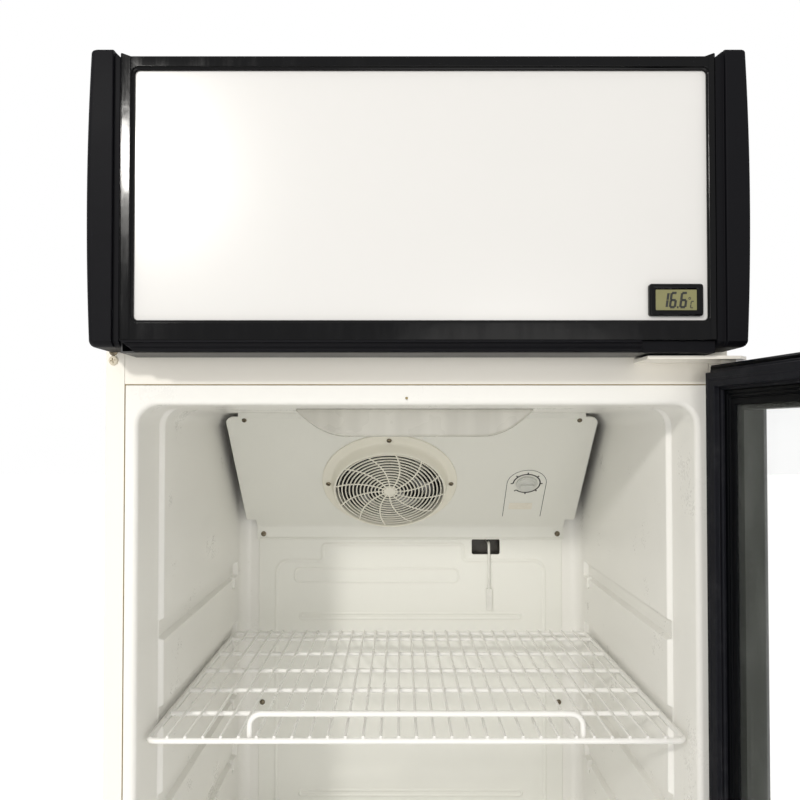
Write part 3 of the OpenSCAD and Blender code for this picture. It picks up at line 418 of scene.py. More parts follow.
def on_cover(u, v, w):
    """Drawing on the sloped cover: u across, v up the slope, w out of it."""
    point = Vector((u, BEND_Y, BEND_Z)) + SLOPE * v + OUTWARD * w
    return (point.x, point.y, point.z)


def swung(u, v, w):
    """Turns a place on the shut door to where the open door stands."""
    turn = Matrix.Rotation(DOOR_OPEN, 2)
    spot = turn @ Vector((u - PIN_X, v - PIN_Y))
    return (PIN_X + spot.x, PIN_Y + spot.y, w)


def on_door(u, v, w):
    """Drawing on the door: u across, v up, w out of its inner face towards the cabinet."""
    return swung(u, DOOR_INNER + w, v)


class Shape:
    """A mesh being made, in millimetres. place turns (u, v, w) into (x, y, z)."""

    def __init__(self, place=flat):
        self.mesh = bmesh.new()
        self.place = place

    def ring(self, points):
        """New corners at places given in u, v and w."""
        return [self.mesh.verts.new(Vector(self.place(*point)) * MM) for point in points]

    def skin(self, rings, closed=True, looped=False):
        """Faces between neighbouring rings; a ring of one corner is a tip."""
        pairs = list(zip(rings, rings[1:])) + ([(rings[-1], rings[0])] if looped else [])
        for first, second in pairs:
            count = max(len(first), len(second))
            for i in range(count if closed else count - 1):
                j = (i + 1) % count
                if len(first) == 1:
                    self.mesh.faces.new((first[0], second[j], second[i]))
                elif len(second) == 1:
                    self.mesh.faces.new((first[i], first[j], second[0]))
                else:
                    self.mesh.faces.new((first[i], first[j], second[j], second[i]))
        return self

    def cap(self, *rings):
        """Closes a flat ring, with further rings as its holes."""
        corners = [corner for ring in rings for corner in ring]
        for triangle in tessellate_polygon([[corner.co for corner in ring] for ring in rings]):
            self.mesh.faces.new([corners[i] for i in triangle])
        return self

    def plate(self, outline, low, high, edge=0.0, under=0.0, holes=(), steps=3):
        """A plate between two levels of w, with rounded edges above and below."""
        lows, highs = [], []
        levels = edge_levels(low, high, edge, under, steps)
        for number, loop in enumerate([outline, *holes]):
            loop = counterclockwise(loop)
            side = -1 if number else 1
            rings = [self.ring([(u, v, w) for u, v in offset(loop, side * inset)])
                     for w, inset in levels]
            self.skin(rings)
            lows.append(rings[0])
            highs.append(rings[-1])
        self.cap(*lows)
        return self.cap(*highs)

    def sweep(self, path, profile, closed=True):
        """Carries a closed profile of (offset, level) corners along a flat path."""
        rails = [offset(path, across, closed) for across, _ in profile]
        rings = [self.ring([(rail[i][0], rail[i][1], level)
                            for rail, (_, level) in zip(rails, profile)])
                 for i in range(len(path))]
        self.skin(rings, looped=closed)
        if not closed:
            self.cap(rings[0]).cap(rings[-1])
        return self

    def tube(self, path, radius, sides=10, looped=False):
        """A round wire along a path."""
        points = [Vector(point) for point in path]
        rings, side = [], None
        for i, point in enumerate(points):
            ahead = points[(i + 1) % len(points)] if looped or i < len(points) - 1 else point
            behind = points[i - 1] if looped or i else point
            along = (ahead - behind).normalized()
            side = side or along.orthogonal()
            side = (side - along * side.dot(along)).normalized()
            other = along.cross(side)
            spokes = [side * math.cos(math.tau * k / sides) + other * math.sin(math.tau * k / sides)
                      for k in range(sides)]
            rings.append(self.ring([tuple(point + spoke * radius) for spoke in spokes]))
        self.skin(rings, looped=looped)
        if not looped:
            self.mesh.faces.new(rings[0])
            self.mesh.faces.new(rings[-1])
        return self

    def lathe(self, profile, u=0.0, v=0.0, steps=32):
        """Turns corners of (radius, level) about an upright axis; open ends are closed."""
        rings = []
        for radius, level in profile:
            if radius < 0.01:
                rings.append(self.ring([(u, v, level)]))
            else:
                rings.append(self.ring([(*spot, level)
                                        for spot in ellipse(u, v, radius, radius, steps)]))
        self.skin(rings)
        for ring in (rings[0], rings[-1]):
            if len(ring) > 1:
                self.mesh.faces.new(ring)
        return self

    def dome(self, radius, at):
        """A coated weld: a small flattened ball."""
        rings, squash = [], 0.6
        for k in range(5):
            turn = math.pi * (k / 4 - 0.5)
            reach, level = radius * math.cos(turn), radius * math.sin(turn) * squash
            if reach < 0.01:
                rings.append(self.ring([(at[0], at[1], at[2] + level)]))
            else:
                rings.append(self.ring([(at[0] + a, at[1] + b, at[2] + level)
                                        for a, b in ellipse(0, 0, reach, reach, 8)]))
        return self.skin(rings)

    def piece(self, name, body, paint, slot, replaces=(), sharp=35, solid=0.0, paints=()):
        """Ends the mesh: its normals, its paint, the body it rides on and the solids it is for."""
        bmesh.ops.recalc_face_normals(self.mesh, faces=self.mesh.faces)
        data = bpy.data.meshes.new(name)
        self.mesh.to_mesh(data)
        self.mesh.free()
        data.shade_smooth()
        data.set_sharp_from_angle(angle=math.radians(sharp))
        for finish in (paint, *paints):
            data.materials.append(finish)
        piece = bpy.data.objects.new(name, data)
        bpy.context.scene.collection.objects.link(piece)
        if solid:
            shell = piece.modifiers.new("wall", "SOLIDIFY")
            shell.thickness, shell.offset = abs(solid) * MM, math.copysign(1, solid)
            shell.use_even_offset = True
        piece.modifiers.new("normals", "WEIGHTED_NORMAL").keep_sharp = True
        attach(piece, body)
        if replaces:
            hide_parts(*replaces)
        return piece


def screw(shape, u, v, w, radius=4.2, slot=0.34):
    """A pan head screw with a cross recess, its head upward along w."""
    height, steps = 2.2, 24
    profile = [(radius, w), (radius, w + 0.35 * height), (0.92 * radius, w + 0.68 * height),
               (0.72 * radius, w + 0.9 * height)]
    rings = [shape.ring([(*spot, level) for spot in ellipse(u, v, r, r, steps)])
             for r, level in profile]
    shape.skin(rings)
    shape.mesh.faces.new(rings[0])
    arm, half = 0.56 * radius, 0.14 * radius
    cross = []
    for quarter in range(4):
        turn = math.radians(90 * quarter + 12)
        for a, b in ((arm, -half), (arm, half), (half, half)):
            cross.append((u + a * math.cos(turn) - b * math.sin(turn),
                          v + a * math.sin(turn) + b * math.cos(turn)))
    top = w + height
    rim = shape.ring([(*spot, top) for spot in cross])
    deep = shape.ring([(u + (a - u) * 0.8, v + (b - v) * 0.8, top - slot * height * 1.6)
                       for a, b in cross])
    shape.cap(rings[-1], rim)
    shape.skin([rim, deep])
    shape.cap(deep)


# ---------------------------------------------------------------- finishes

PAINTS = {}


def once(maker):
    """Each finish is mixed once and shared by the pieces that wear it."""
    def get():
        if maker.__name__ not in PAINTS:
            PAINTS[maker.__name__] = maker()
        return PAINTS[maker.__name__]
    return get


def coat(name, colour, rough, grain, depth, shift=0.03, **constants):
    """A sprayed or moulded surface: fine grain, faint clouding and uneven gloss."""
    mixed = Paint(name, **constants)
    cloud = mixed.noise(3.5, 3, 0.6)
    fine = mixed.noise(grain, 2, 0.5)
    smear = mixed.noise(11, 4, 0.65)
    tone = mixed.ramp(cloud * 0.7 + smear * 0.3, (0.3, 0), (0.7, 1))
    mixed.set(Base_Color=mixed.mix(tone, darker(colour, 1 - shift), colour),
              Roughness=rough + (smear - 0.5) * 0.16 + (fine - 0.5) * 0.06,
              Normal=mixed.bump(fine, 0.35, depth * MM))
    return mixed.material


def metal(name, low, high, rough, scale=30, grain=400, stretch=(1, 1, 1), metallic=1.0):
    """Bare or plated metal, dulled in patches and finely scratched."""
    mixed = Paint(name)
    patch = mixed.noise(scale, 5, 0.65)
    scratch = mixed.noise(grain, 3, 0.6, stretch=stretch)
    tone = mixed.ramp(patch, (0.35, 0), (0.7, 1))
    mixed.set(Base_Color=mixed.mix(tone, linear(low), linear(high)),
              Metallic=metallic - patch * 0.15,
              Roughness=rough + (patch - 0.5) * 0.25 + (scratch - 0.5) * 0.15,
              Normal=mixed.bump(scratch, 0.3, 0.06 * MM))
    return mixed.material


def moulded(name, low, high, rough, scale=24, grain=500, depth=0.08):
    """Dull painted or moulded stock, with dust and handling marks."""
    mixed = Paint(name)
    patch = mixed.noise(scale, 5, 0.65)
    fine = mixed.noise(grain, 2, 0.5)
    tone = mixed.ramp(patch, (0.35, 0), (0.75, 1))
    mixed.set(Base_Color=mixed.mix(tone, linear(low), linear(high)),
              Roughness=rough + (patch - 0.5) * 0.2 + (fine - 0.5) * 0.06,
              Normal=mixed.bump(fine, 0.35, depth * MM))
    return mixed.material


@once
def cabinet_paint():
    """White powder coat on the outer panels."""
    return coat("powder_coat", colours().paint, 0.34, 420, 0.05, 0.025,
                Coat_Weight=0.12, Coat_Roughness=0.2)


@once
def liner_plastic():
    """Thermoformed liner, smoother than the panels."""
    return coat("liner_plastic", colours().liner, 0.3, 420, 0.012)


@once
def pocket_box():
    """Dark grey box moulded into the back for the sensor."""
    return moulded("pocket_box", "55524c", "68645c", 0.5, 40, 500, 0.05)


@once
def cover_plastic():
    """The evaporator cover and the rear panel."""
    return coat("cover_plastic", colours().cover, 0.36, 300, 0.04)


@once
def guard_plastic():
    """The fan guard, a little warmer than its cover."""
    return coat("guard_plastic", colours().guard, 0.42, 340, 0.05, 0.05)


@once
def shelf_coat():
    """Dipped coat on the shelf wires."""
    return coat("shelf_coat", colours().wire, 0.3, 240, 0.05, 0.04, Coat_Weight=0.2,
                Coat_Roughness=0.15)


@once
def cap_plastic():
    """Textured black plastic, dusty on its upper faces."""
    mixed = Paint("cap_plastic", Specular_IOR_Level=0.1)
    spark = mixed.noise(950, 2, 0.6)
    cloud = mixed.noise(7, 4, 0.6)
    facing = mixed.node("ShaderNodeNewGeometry", out="Normal")
    upward = mixed.node("ShaderNodeSeparateXYZ", {}, {0: facing}, out="Z")
    dust = mixed.ramp(upward * 0.6 + cloud * 0.5, (0.6, 0), (1.1, 0.25))
    mixed.set(Base_Color=mixed.mix(dust, colours().cap, linear("3b3a37")),
              Roughness=0.56 + (cloud - 0.5) * 0.2,
              Normal=mixed.bump(spark, 0.5, 0.12 * MM))
    return mixed.material


@once
def sign_gloss():
    """Polished black plastic with faint moulding waves and wipe marks."""
    mixed = Paint("sign_gloss", Specular_IOR_Level=0.15)
    waves = mixed.noise(26, 3, 0.55)
    wipes = mixed.noise(60, 5, 0.7, stretch=(1, 1, 0.12))
    mixed.set(Base_Color=mixed.mix(wipes, colours().gloss, darker(colours().gloss, 1.8)),
              Roughness=0.1 + mixed.ramp(wipes, (0.45, 0), (0.8, 1)) * 0.2,
              Normal=mixed.bump(waves, 0.3, 0.5 * MM))
    return mixed.material


@once
def sign_acrylic():
    """Blank white sign: an acrylic sheet meant to be lit from behind, faintly clouded."""
    mixed = Paint("sign_acrylic", Specular_IOR_Level=0.5, Coat_Weight=0.25, Coat_Roughness=0.08)
    cloud = mixed.noise(5, 3, 0.5)
    speck = mixed.noise(700, 2, 0.5)
    mixed.set(Base_Color=mixed.mix(cloud, colours().sign, darker(colours().sign, 0.965)),
              Roughness=0.22 + (cloud - 0.5) * 0.1,
              Normal=mixed.bump(speck, 0.15, 0.03 * MM))
    return mixed.material


@once
def door_metal():
    """Satin black profiles, brushed along their length by the extrusion."""
    mixed = Paint("door_metal", Specular_IOR_Level=0.05)
    lines = mixed.noise(300, 3, 0.6, stretch=(1, 1, 0.02))
    cloud = mixed.noise(6, 3, 0.6)
    mixed.set(Base_Color=mixed.mix(cloud, colours().door, darker(colours().door, 1.35)),
              Roughness=0.36 + (lines - 0.5) * 0.14 + (cloud - 0.5) * 0.14,
              Normal=mixed.bump(lines, 0.2, 0.04 * MM))
    return mixed.material


@once
def gasket_rubber():
    """Soft vinyl, a little chalky where it closes on the cabinet."""
    mixed = Paint("gasket_rubber", Specular_IOR_Level=0.12)
    chalk = mixed.noise(38, 5, 0.7)
    grain = mixed.noise(520, 2, 0.5)
    mixed.set(Base_Color=mixed.mix(mixed.ramp(chalk, (0.5, 0), (0.85, 0.5)), colours().gasket,
                                   linear("38383a")),
              Roughness=0.62 + (chalk - 0.5) * 0.24, Normal=mixed.bump(grain, 0.4, 0.1 * MM))
    return mixed.material


@once
def pane_glass():
    """Clear float glass that shows only a faint film and its wipe marks."""
    mixed = Paint("pane_glass", Specular_IOR_Level=0.5)
    wipes = mixed.noise(14, 5, 0.7, stretch=(1, 1, 0.4))
    mixed.set(Base_Color=mixed.mix(wipes, linear("dfe8e4"), linear("f4f8f6")),
              Roughness=0.05 + mixed.ramp(wipes, (0.55, 0.0), (0.9, 0.2)),
              Alpha=0.03 + mixed.ramp(wipes, (0.5, 0.0), (0.9, 0.05)))
    return mixed.material


@once
def spacer_metal():
    """Anodised spacer bar with a row of small breathing holes."""
    mixed = Paint("spacer_metal", Specular_IOR_Level=0.15)
    wear = mixed.noise(40, 4, 0.6)
    grain = mixed.noise(500, 2, 0.5, stretch=(1, 1, 0.05))
    holes = mixed.node("ShaderNodeTexVoronoi", {"feature": "F1"},
                       {"Vector": mixed.place(), "Scale": 170.0, "Randomness": 0.0})
    mixed.set(Base_Color=mixed.mix(wear, linear("181a15"), linear("22241d")),
              Metallic=0.15 + (wear - 0.5) * 0.1, Roughness=0.45 + (grain - 0.5) * 0.2,
              Normal=mixed.bump(holes + grain * 0.2, 0.3, 0.2 * MM))
    return mixed.material


@once
def screw_steel():
    """Bronze-dark plated screws, scuffed by the driver."""
    mixed = Paint("screw_steel")
    wear = mixed.noise(420, 4, 0.6)
    mixed.set(Base_Color=mixed.mix(mixed.ramp(wear, (0.4, 0), (0.7, 1)), linear("4c4438"),
                                   linear("a89b82")),
              Metallic=0.6 + (wear - 0.5) * 0.4, Roughness=0.36 + (wear - 0.5) * 0.3,
              Normal=mixed.bump(wear, 0.3, 0.08 * MM))
    return mixed.material


@once
def painted_screw():
    """A screw painted over with the cabinet."""
    return coat("painted_screw", linear("d8cfba"), 0.4, 600, 0.06, 0.12)


@once
def foam():
    """Cut edge of blown foam: small open cells."""
    mixed = Paint("foam")
    cells = mixed.node("ShaderNodeTexVoronoi", {"feature": "F1"},
                       {"Vector": mixed.place(), "Scale": 330.0})
    cloud = mixed.noise(9, 4, 0.6)
    mixed.set(Base_Color=mixed.mix(cloud, linear("c9b27a"), linear("e0cf9d")),
              Roughness=0.85 + (cloud - 0.5) * 0.1, Normal=mixed.bump(cells, 0.6, 0.7 * MM))
    return mixed.material


@once
def lens_plastic():
    """Milky lamp lens, ribbed across; the lighter streaks in its colour are painted light of the
    lamps drawn out by the ribs, and its grey is partly painted shade.
    """
    mixed = Paint("lens_plastic", Coat_Weight=0.3, Coat_Roughness=0.1)
    cloud = mixed.noise(20, 3, 0.5)
    rib_and_lamp_streak = mixed.noise(34, 2, 0.5, stretch=(1, 0.02, 0.02))
    # painted light: lighter streaks from the lamps; painted shade: both greys are darker than the
    # milky lens itself
    mixed.set(Base_Color=mixed.mix(mixed.ramp(rib_and_lamp_streak, (0.4, 0), (0.65, 1)), linear("c2c0b6"),
                                   linear("d2d0c6")),
              Roughness=0.28 + (cloud - 0.5) * 0.12, Normal=mixed.bump(rib_and_lamp_streak, 0.2, 0.3 * MM))
    return mixed.material


@once
def display_face():
    """Liquid crystal face: olive with a faint grid of unlit cells."""
    mixed = Paint("display_face", Coat_Weight=0.5, Coat_Roughness=0.06)
    cloud = mixed.noise(70, 3, 0.5)
    cells = mixed.noise(1800, 1, 0.5)
    mixed.set(Base_Color=mixed.mix(cloud, darker(colours().display, 0.9), colours().display),
              Roughness=0.3 + (cells - 0.5) * 0.1, Normal=mixed.bump(cells, 0.15, 0.04 * MM))
    return mixed.material


@once
def display_ink():
    """Dark cells of the display's figures."""
    return moulded("display_ink", "14150f", "20211a", 0.45, 300, 1500, 0.02)


@once
def dial_ink():
    """Printed marks, and the painted shade of small holes and slots."""
    return moulded("dial_ink", "1b1b1b", "2b2a29", 0.5, 300, 1500, 0.02)


@once
def dial_plate():
    """Cream plate beside the dial."""
    return moulded("dial_plate", "ece7d9", "f4f0e4", 0.4, 90, 900, 0.02)


@once
def knob_plastic():
    """Pale grey knob."""
    return moulded("knob_plastic", "d3d4cf", "dfe0db", 0.34, 90, 700, 0.05)


# ---------------------------------------------------------------- cabinet


def side_skin(side, name, node):
    """A side panel folded round the front and the back of the cabinet."""
    bend = size_of("bend")
    path = rounded([(FOLD_X, FRONT_Y), (HALF_W, FRONT_Y), (HALF_W, BACK_Y), (FOLD_X, BACK_Y)],
                   [0, bend, bend, 0], 4)
    shape = Shape(lambda u, v, w: (side * u, v, w))
    shape.sweep(path, [(0.4, FOOT_Z), (0, FOOT_Z + 0.4), (0, ROOF_Z - 0.4), (0.4, ROOF_Z),
                       (SHEET, ROOF_Z), (SHEET, FOOT_Z)], closed=False)
    shape.piece(name, "cabinet", cabinet_paint(), "cream_paint", [node])


def roof_skin():
    """Roof panel with its apron folded down over the front."""
    bend = size_of("bend")
    path = rounded([(FRONT_Y, SEAM_Z), (FRONT_Y, ROOF_Z), (BACK_Y - SHEET, ROOF_Z)],
                   [0, bend, 0], 4)
    reach = FOLD_X - 0.4
    shape = Shape(sideways)
    shape.sweep(path, [(0, -reach), (0, reach), (-SHEET, reach), (-SHEET, -reach)], closed=False)
    for side in (-1, 1):
        low, high = sorted((side * reach, side * (HALF_W - 1.25)))
        shape.plate(window(FRONT_Y + 1.3, BACK_Y - SHEET, ROOF_Z - SHEET, ROOF_Z), low, high)
    shape.piece("roof_skin", "cabinet", cabinet_paint(), "cream_paint", ["top_panel"])


def groove_share(y, z):
    """How deep the side wall is pressed at a place: 0 on the wall, 1 in a guide or hook notch."""
    deep = 0.0
    for guide in GUIDES:
        low = guide - GROOVE_DROP
        if not low - 18 < z < low + GROOVE_RISE + 4:
            continue
        up = min((z - low + 1.8) / 2.4, (low + GROOVE_RISE + 1.6 - z) / 3.2, 1)
        along = min((187.5 - y) / 3, 1)
        notch = min((z - low + 16.2) / 2.4, (low + 4 - z) / 2, 1)
        across = min((y - 151.6) / 2.2, (166.4 - y) / 2.2, 1)
        deep = max(deep, min(up, along), min(notch, across))
    return deep * deep * (3 - 2 * deep) if deep > 0 else 0.0


def wall_lines():
    """Heights of the liner wall's corners, close together at the edges of each guide."""
    lines = [FLOOR_Z + 30, CEIL_Z - 30, CEIL_Z - 90, CEIL_Z - 160]
    for guide in GUIDES:
        low = guide - GROOVE_DROP
        lines += [low + step for step in (-16.4, -15.2, -14, -12.8, -7, -2, -1, 0, 1.2, 7,
                                          GROOVE_RISE - 1.8, GROOVE_RISE - 0.6, GROOVE_RISE + 0.6,
                                          GROOVE_RISE + 1.8)]
    return sorted(lines)


def liner_section(y, half, grow, lines):
    """One ring round the inside of the liner at depth y."""
    corner = max(2.0, size_of("corner") + grow)
    low, high, wide = FLOOR_Z - grow, CEIL_Z + grow, half + grow
    share = [0 if grow else groove_share(y, z) * min(max((y - STRIP_END + 3) / 6, 0), 1)
             for z in lines]
    right = [(wide + part * (GROOVE_X - wide), z) for part, z in zip(share, lines)]
    ring = right + arc(wide - corner, high - corner, corner, 0, 90, 6)
    ring += arc(corner - wide, high - corner, corner, 90, 180, 6)
    ring += [(-x, z) for x, z in reversed(right)]
    ring += arc(corner - wide, low + corner, corner, 180, 270, 6)
    ring += arc(wide - corner, low + corner, corner, 270, 360, 6)
    return [(x, y, z) for x, z in ring]


def liner_shell():
    """The liner, one moulded shell: flange, mouth, walls with shelf guides, back and pocket."""
    lines, mouth, cove = wall_lines(), size_of("mouth"), min(size_of("cove"), DEEPEST_COVE)
    shape = Shape()
    rings = []
    for k in range(5):
        turn = math.pi / 2 * k / 4
        rings.append((FRONT_Y + mouth * (1 - math.cos(turn)), STRIP_X,
                      mouth * (1 - math.sin(turn))))
    rings += [(y, STRIP_X, 0) for y in (FRONT_Y + 30, STRIP_END - 3)]
    rings += [(STRIP_END - 1.5, STRIP_X - 0.9, 0), (STRIP_END, STRIP_X - 3, 0),
              (STRIP_END + 1.5, WALL_X + 0.9, 0)]
    rings += [(y, WALL_X, 0) for y in (STRIP_END + 3, -120, -40, 40, 110, 146, 151.6, 152.7, 153.8,
                                       159, 164.2, 165.3, 166.4, 175, 183, 184.5, 186, 187.5,
                                       INNER_BACK - cove)]
    for k in range(1, 6):
        turn = math.pi / 2 * k / 5
        rings.append((INNER_BACK - cove * (1 - math.sin(turn)), WALL_X,
                      -cove * (1 - math.cos(turn))))
    rings = [shape.ring(liner_section(y, half, grow, lines)) for y, half, grow in rings]
    shape.skin(rings)
    seam = size_of("seam")
    edge = window(seam - FOLD_X, FOLD_X - seam, BASE_Z, SEAM_Z - seam, 1.5, 3)
    rim = shape.ring([(x, FRONT_Y, z) for x, z in offset(edge, 0.5)])
    shape.skin([rim, shape.ring([(x, FRONT_Y + 0.5, z) for x, z in edge])])
    pin = shape.ring([(x, FRONT_Y, z) for x, z in ellipse(-10, CEIL_Z + 7, 1.5, 1.5, 12)])
    shape.cap(rim, rings[0], pin)
    pocket = [shape.ring([(x, y, z) for x, z in pocket_outline()])
              for y in (INNER_BACK, INNER_BACK + POCKET_DEEP)]
    shape.cap(rings[-1], pocket[0])
    before = len(shape.mesh.faces)
    shape.skin(pocket).cap(pocket[1])
    for face in list(shape.mesh.faces)[before:]:
        face.material_index = 1
    shape.piece("liner_shell", "cabinet", liner_plastic(), "white_liner",
                ["liner_left", "liner_right", "liner_back", "liner_ceiling", "liner_floor",
                 "liner_flange"], solid=-LINER_WALL, paints=[pocket_box()])


def bead(shape, path, width, level, rise):
    """A half round bead pressed out of a plate along a path."""
    half = width / 2
    profile = [(-half, level - 0.4), (-half, level), (-0.72 * half, level + 0.35 * rise),
               (-0.4 * half, level + 0.85 * rise), (0, level + rise),
               (0.4 * half, level + 0.85 * rise), (0.72 * half, level + 0.35 * rise),
               (half, level), (half, level - 0.4)]
    shape.sweep(path, profile)


def rear_panel():
    """Panel over the back wall, with beads pressed into it to stiffen it."""
    low, high = span("rear_panel")
    face = -(INNER_BACK - 2)
    shape = Shape(front)
    shape.plate(window(low[0], high[0], low[2], high[2], 5), -INNER_BACK, face, 0.7,
                holes=[pocket_outline()])
    wide, top, foot = high[0] - 28, BEND_Z - 55, low[2] + 40
    step = [(-wide, foot), (wide, foot), (wide, top), (84, top), (84, top + 26), (-140, top + 26),
            (-140, top), (-wide, top)]
    bead(shape, rounded(step, [18, 18, 18, 6, 6, 6, 6, 18], 5), size_of("bead"), face, 1.2)
    bead(shape, window(-184, 76, top - 34, top - 12, 8), 4.5, face, 1.0)
    for lift in SHELF_Z:
        bead(shape, window(-176, 176, lift + 16, lift + 24, 3.8), 5, face, 1.1)
    shape.piece("rear_panel_pressed", "cabinet", cover_plastic(), "cover_white", ["rear_panel"])


# ---------------------------------------------------------------- lamp, cover, fan and dial


def lamp_lens():
    """Trough shaped lens under the ceiling, open above over its row of lamps."""
    low, high = span("lamp_lens")
    half_flat, reach, drop, deep = 78, high[0], CEIL_Z - low[2], high[1] - low[1]
    slope = [(half_flat + (reach - half_flat) * k / 14, CEIL_Z - drop * (1 - k * k / 196))
             for k in range(14, -1, -1)]
    path = slope + [(u, CEIL_Z - drop) for u in (60, 30, 0, -30, -60)]
    path += [(-u, v) for u, v in reversed(slope)]
    shape = Shape(front)
    rings = []
    for inset, place in ((2.4, 0), (0.9, 0.8), (0.0, 2.6), (0.0, deep - 2.6), (0.9, deep - 0.8),
                         (2.4, deep)):
        rings.append(shape.ring([
            (u * (reach - inset) / reach, CEIL_Z - (CEIL_Z - v) * (drop - inset) / drop,
             place - high[1]) for u, v in path]))
    shape.skin(rings, closed=False)
    shape.mesh.faces.new(rings[0])
    shape.mesh.faces.new(rings[-1])
    shape.piece("lamp_lens_ribbed", "cabinet", lens_plastic(), "lens_plastic", ["lamp_lens"],
                solid=-LENS_WALL)


def evaporator_cover():
    """Sloped cover in front of the evaporator, with its tab bent down over the rear panel."""
    half, tab, corner = COVER_HIGH[0], 244, 12
    outline = rounded([(-half, 16), (half, 16), (half, SLOPE_L), (-half, SLOPE_L)],
                      [3, 3, corner, corner], 6)
    shape = Shape(on_cover)
    shape.plate(outline, -2, 0, 0.9, holes=[ellipse(FAN_X, FAN_V, 80, 80, 64),
                                            ellipse(DIAL_X, DIAL_V, 5, 5, 20)])
    shape.place = sideways
    start = Vector((BEND_Y, BEND_Z)) + Vector((SLOPE.y, SLOPE.z)) * 17
    path = rounded([tuple(start), (BEND_Y, BEND_Z), (BEND_Y, COVER_LOW[2])], [0, 7, 0], 5)
    shape.sweep(path, [(0, -tab), (0, tab), (2, tab), (2, -tab)], closed=False)
    hem = (BEND_Y - 0.7, COVER_LOW[2] + 1.4)
    shape.place = flat
    shape.tube([(1 - tab, *hem), (0, *hem), (tab - 1, *hem)], 1.4, 8)
    lip = half - 1.5 * corner
    shape.place = front
    shape.plate(window(-lip, lip, COVER_HIGH[2] - 7, COVER_HIGH[2]), -COVER_LOW[1] - 2,
                -COVER_LOW[1])
    shape.piece("evaporator_cover_bent", "cabinet", cover_plastic(), "cover_white",
                ["evaporator_cover"])


def fan_guard():
    """Moulded guard: a raised collar, rings and swept spokes on a shallow dome around a hub."""
    shape = Shape(on_cover)

    def dome(r):
        """Level of the guard at a distance from its middle."""
        return 18.2 - 2.2 * (r / 82) ** 2

    collar = [(101, 0.1), (101, 1.9), (100.3, 2.7), (99, 3), (88.6, 3.1), (86.9, 3.9),
              (85.6, 6), (84.5, 10), (83.9, 15), (83.2, 18.4), (82.2, 19.8), (81, 20), (80.2, 19.4),
              (80, 18), (80.2, 0.1)]
    rings = [shape.ring([(*spot, level) for spot in ellipse(FAN_X, FAN_V, r, r, 72)])
             for r, level in collar]
    shape.skin(rings, looped=True)
    count = bpy.context.scene.merchandiser_sizes.rings
    for k in range(count):
        r = 9.6 + (80.4 - 9.6) * (k + 0.25) / count
        section = ellipse(0, dome(r), 1.1, 1.4, 8)
        shape.skin([shape.ring([(*spot, level) for spot in
                                ellipse(FAN_X, FAN_V, r + a, r + a, 56)])
                    for a, level in section], looped=True)
    spokes = bpy.context.scene.merchandiser_sizes.spokes
    for k in range(spokes):
        path = []
        for t in range(15):
            share = t / 14
            reach = 6 + 75.5 * share
            turn = math.tau * (k - 0.06) / spokes + 0.36 * share * (1 + 0.3 * share)
            path.append((FAN_X + reach * math.cos(turn), FAN_V + reach * math.sin(turn),
                         dome(reach) + 0.4))
        shape.tube(path, 1.15, 6)
    shape.lathe([(9, 16.6), (9.2, 18.6), (8.6, 19.4), (6, 19.8), (0, 20)], FAN_X, FAN_V, 28)
    shape.piece("fan_guard_moulded", "cabinet", guard_plastic(), "warm_plastic", ["fan_guard"],
                sharp=40)


def by_dial(points):
    """Points given from the middle of the dial."""
    return [(DIAL_X + u, DIAL_V + v) for u, v in points]


def thermostat():
    """Dial with its printed scale, the knob turning on the thermostat's spindle."""
    marks = Shape(on_cover)
    start, end = -135, 180
    line = [(-1, 0.02), (-1, 0.16), (1, 0.16), (1, 0.02)]
    marks.sweep(by_dial(arc(0, 0, 20.2, start, end, 48)), line, closed=False)
    for k in range(8):
        turn = math.radians(start + (end - start) * k / 7)
        tick = [(r * math.cos(turn), r * math.sin(turn)) for r in (20.6, 24)]
        marks.sweep(by_dial(tick), line, closed=False)
    arch = [(29.5, -77), *arc(0, 0, 29.5, 0, 180, 28), (-29.5, -77)]
    marks.sweep(by_dial(arch), [(0.4 * u, w) for u, w in line], closed=False)
    marks.piece("dial_scale", "cabinet", dial_ink(), "cover_white")
    plate = Shape(on_cover)
    plate.plate(window(DIAL_X - 22, DIAL_X + 14, DIAL_V - 60, DIAL_V - 45, 1), 0.01, 0.3, 0.15)
    plate.piece("dial_plate", "cabinet", dial_plate(), "cover_white")
    knob = Shape(on_cover)
    knob.lathe([(15.6, 0.6), (16, 1), (16, 2.2), (15.4, 3), (13.4, 3.3), (12.9, 4), (12.4, 5),
                (11.4, 5.6), (0, 5.8)], DIAL_X, DIAL_V, 40)
    grip = rounded([(-10, -4), (10, -4), (11, 0), (10, 4), (-10, 4), (-11, 0)], 2, 3)
    knob.plate(by_dial(grip), 5, 8.6, 1.4)
    knob.lathe([(2.9, -12), (3, -11.5), (3, 0.8)], DIAL_X, DIAL_V, 20)
    knob.plate(window(DIAL_X + 5.5, DIAL_X + 10, DIAL_V - 0.6, DIAL_V + 0.6, 0.3, 2), 8.3, 8.75,
               0.1)
    knob.piece("thermostat_knob_moulded", "thermostat_dial", knob_plastic(), "knob_grey",
               ["thermostat_knob"])


# ---------------------------------------------------------------- shelves


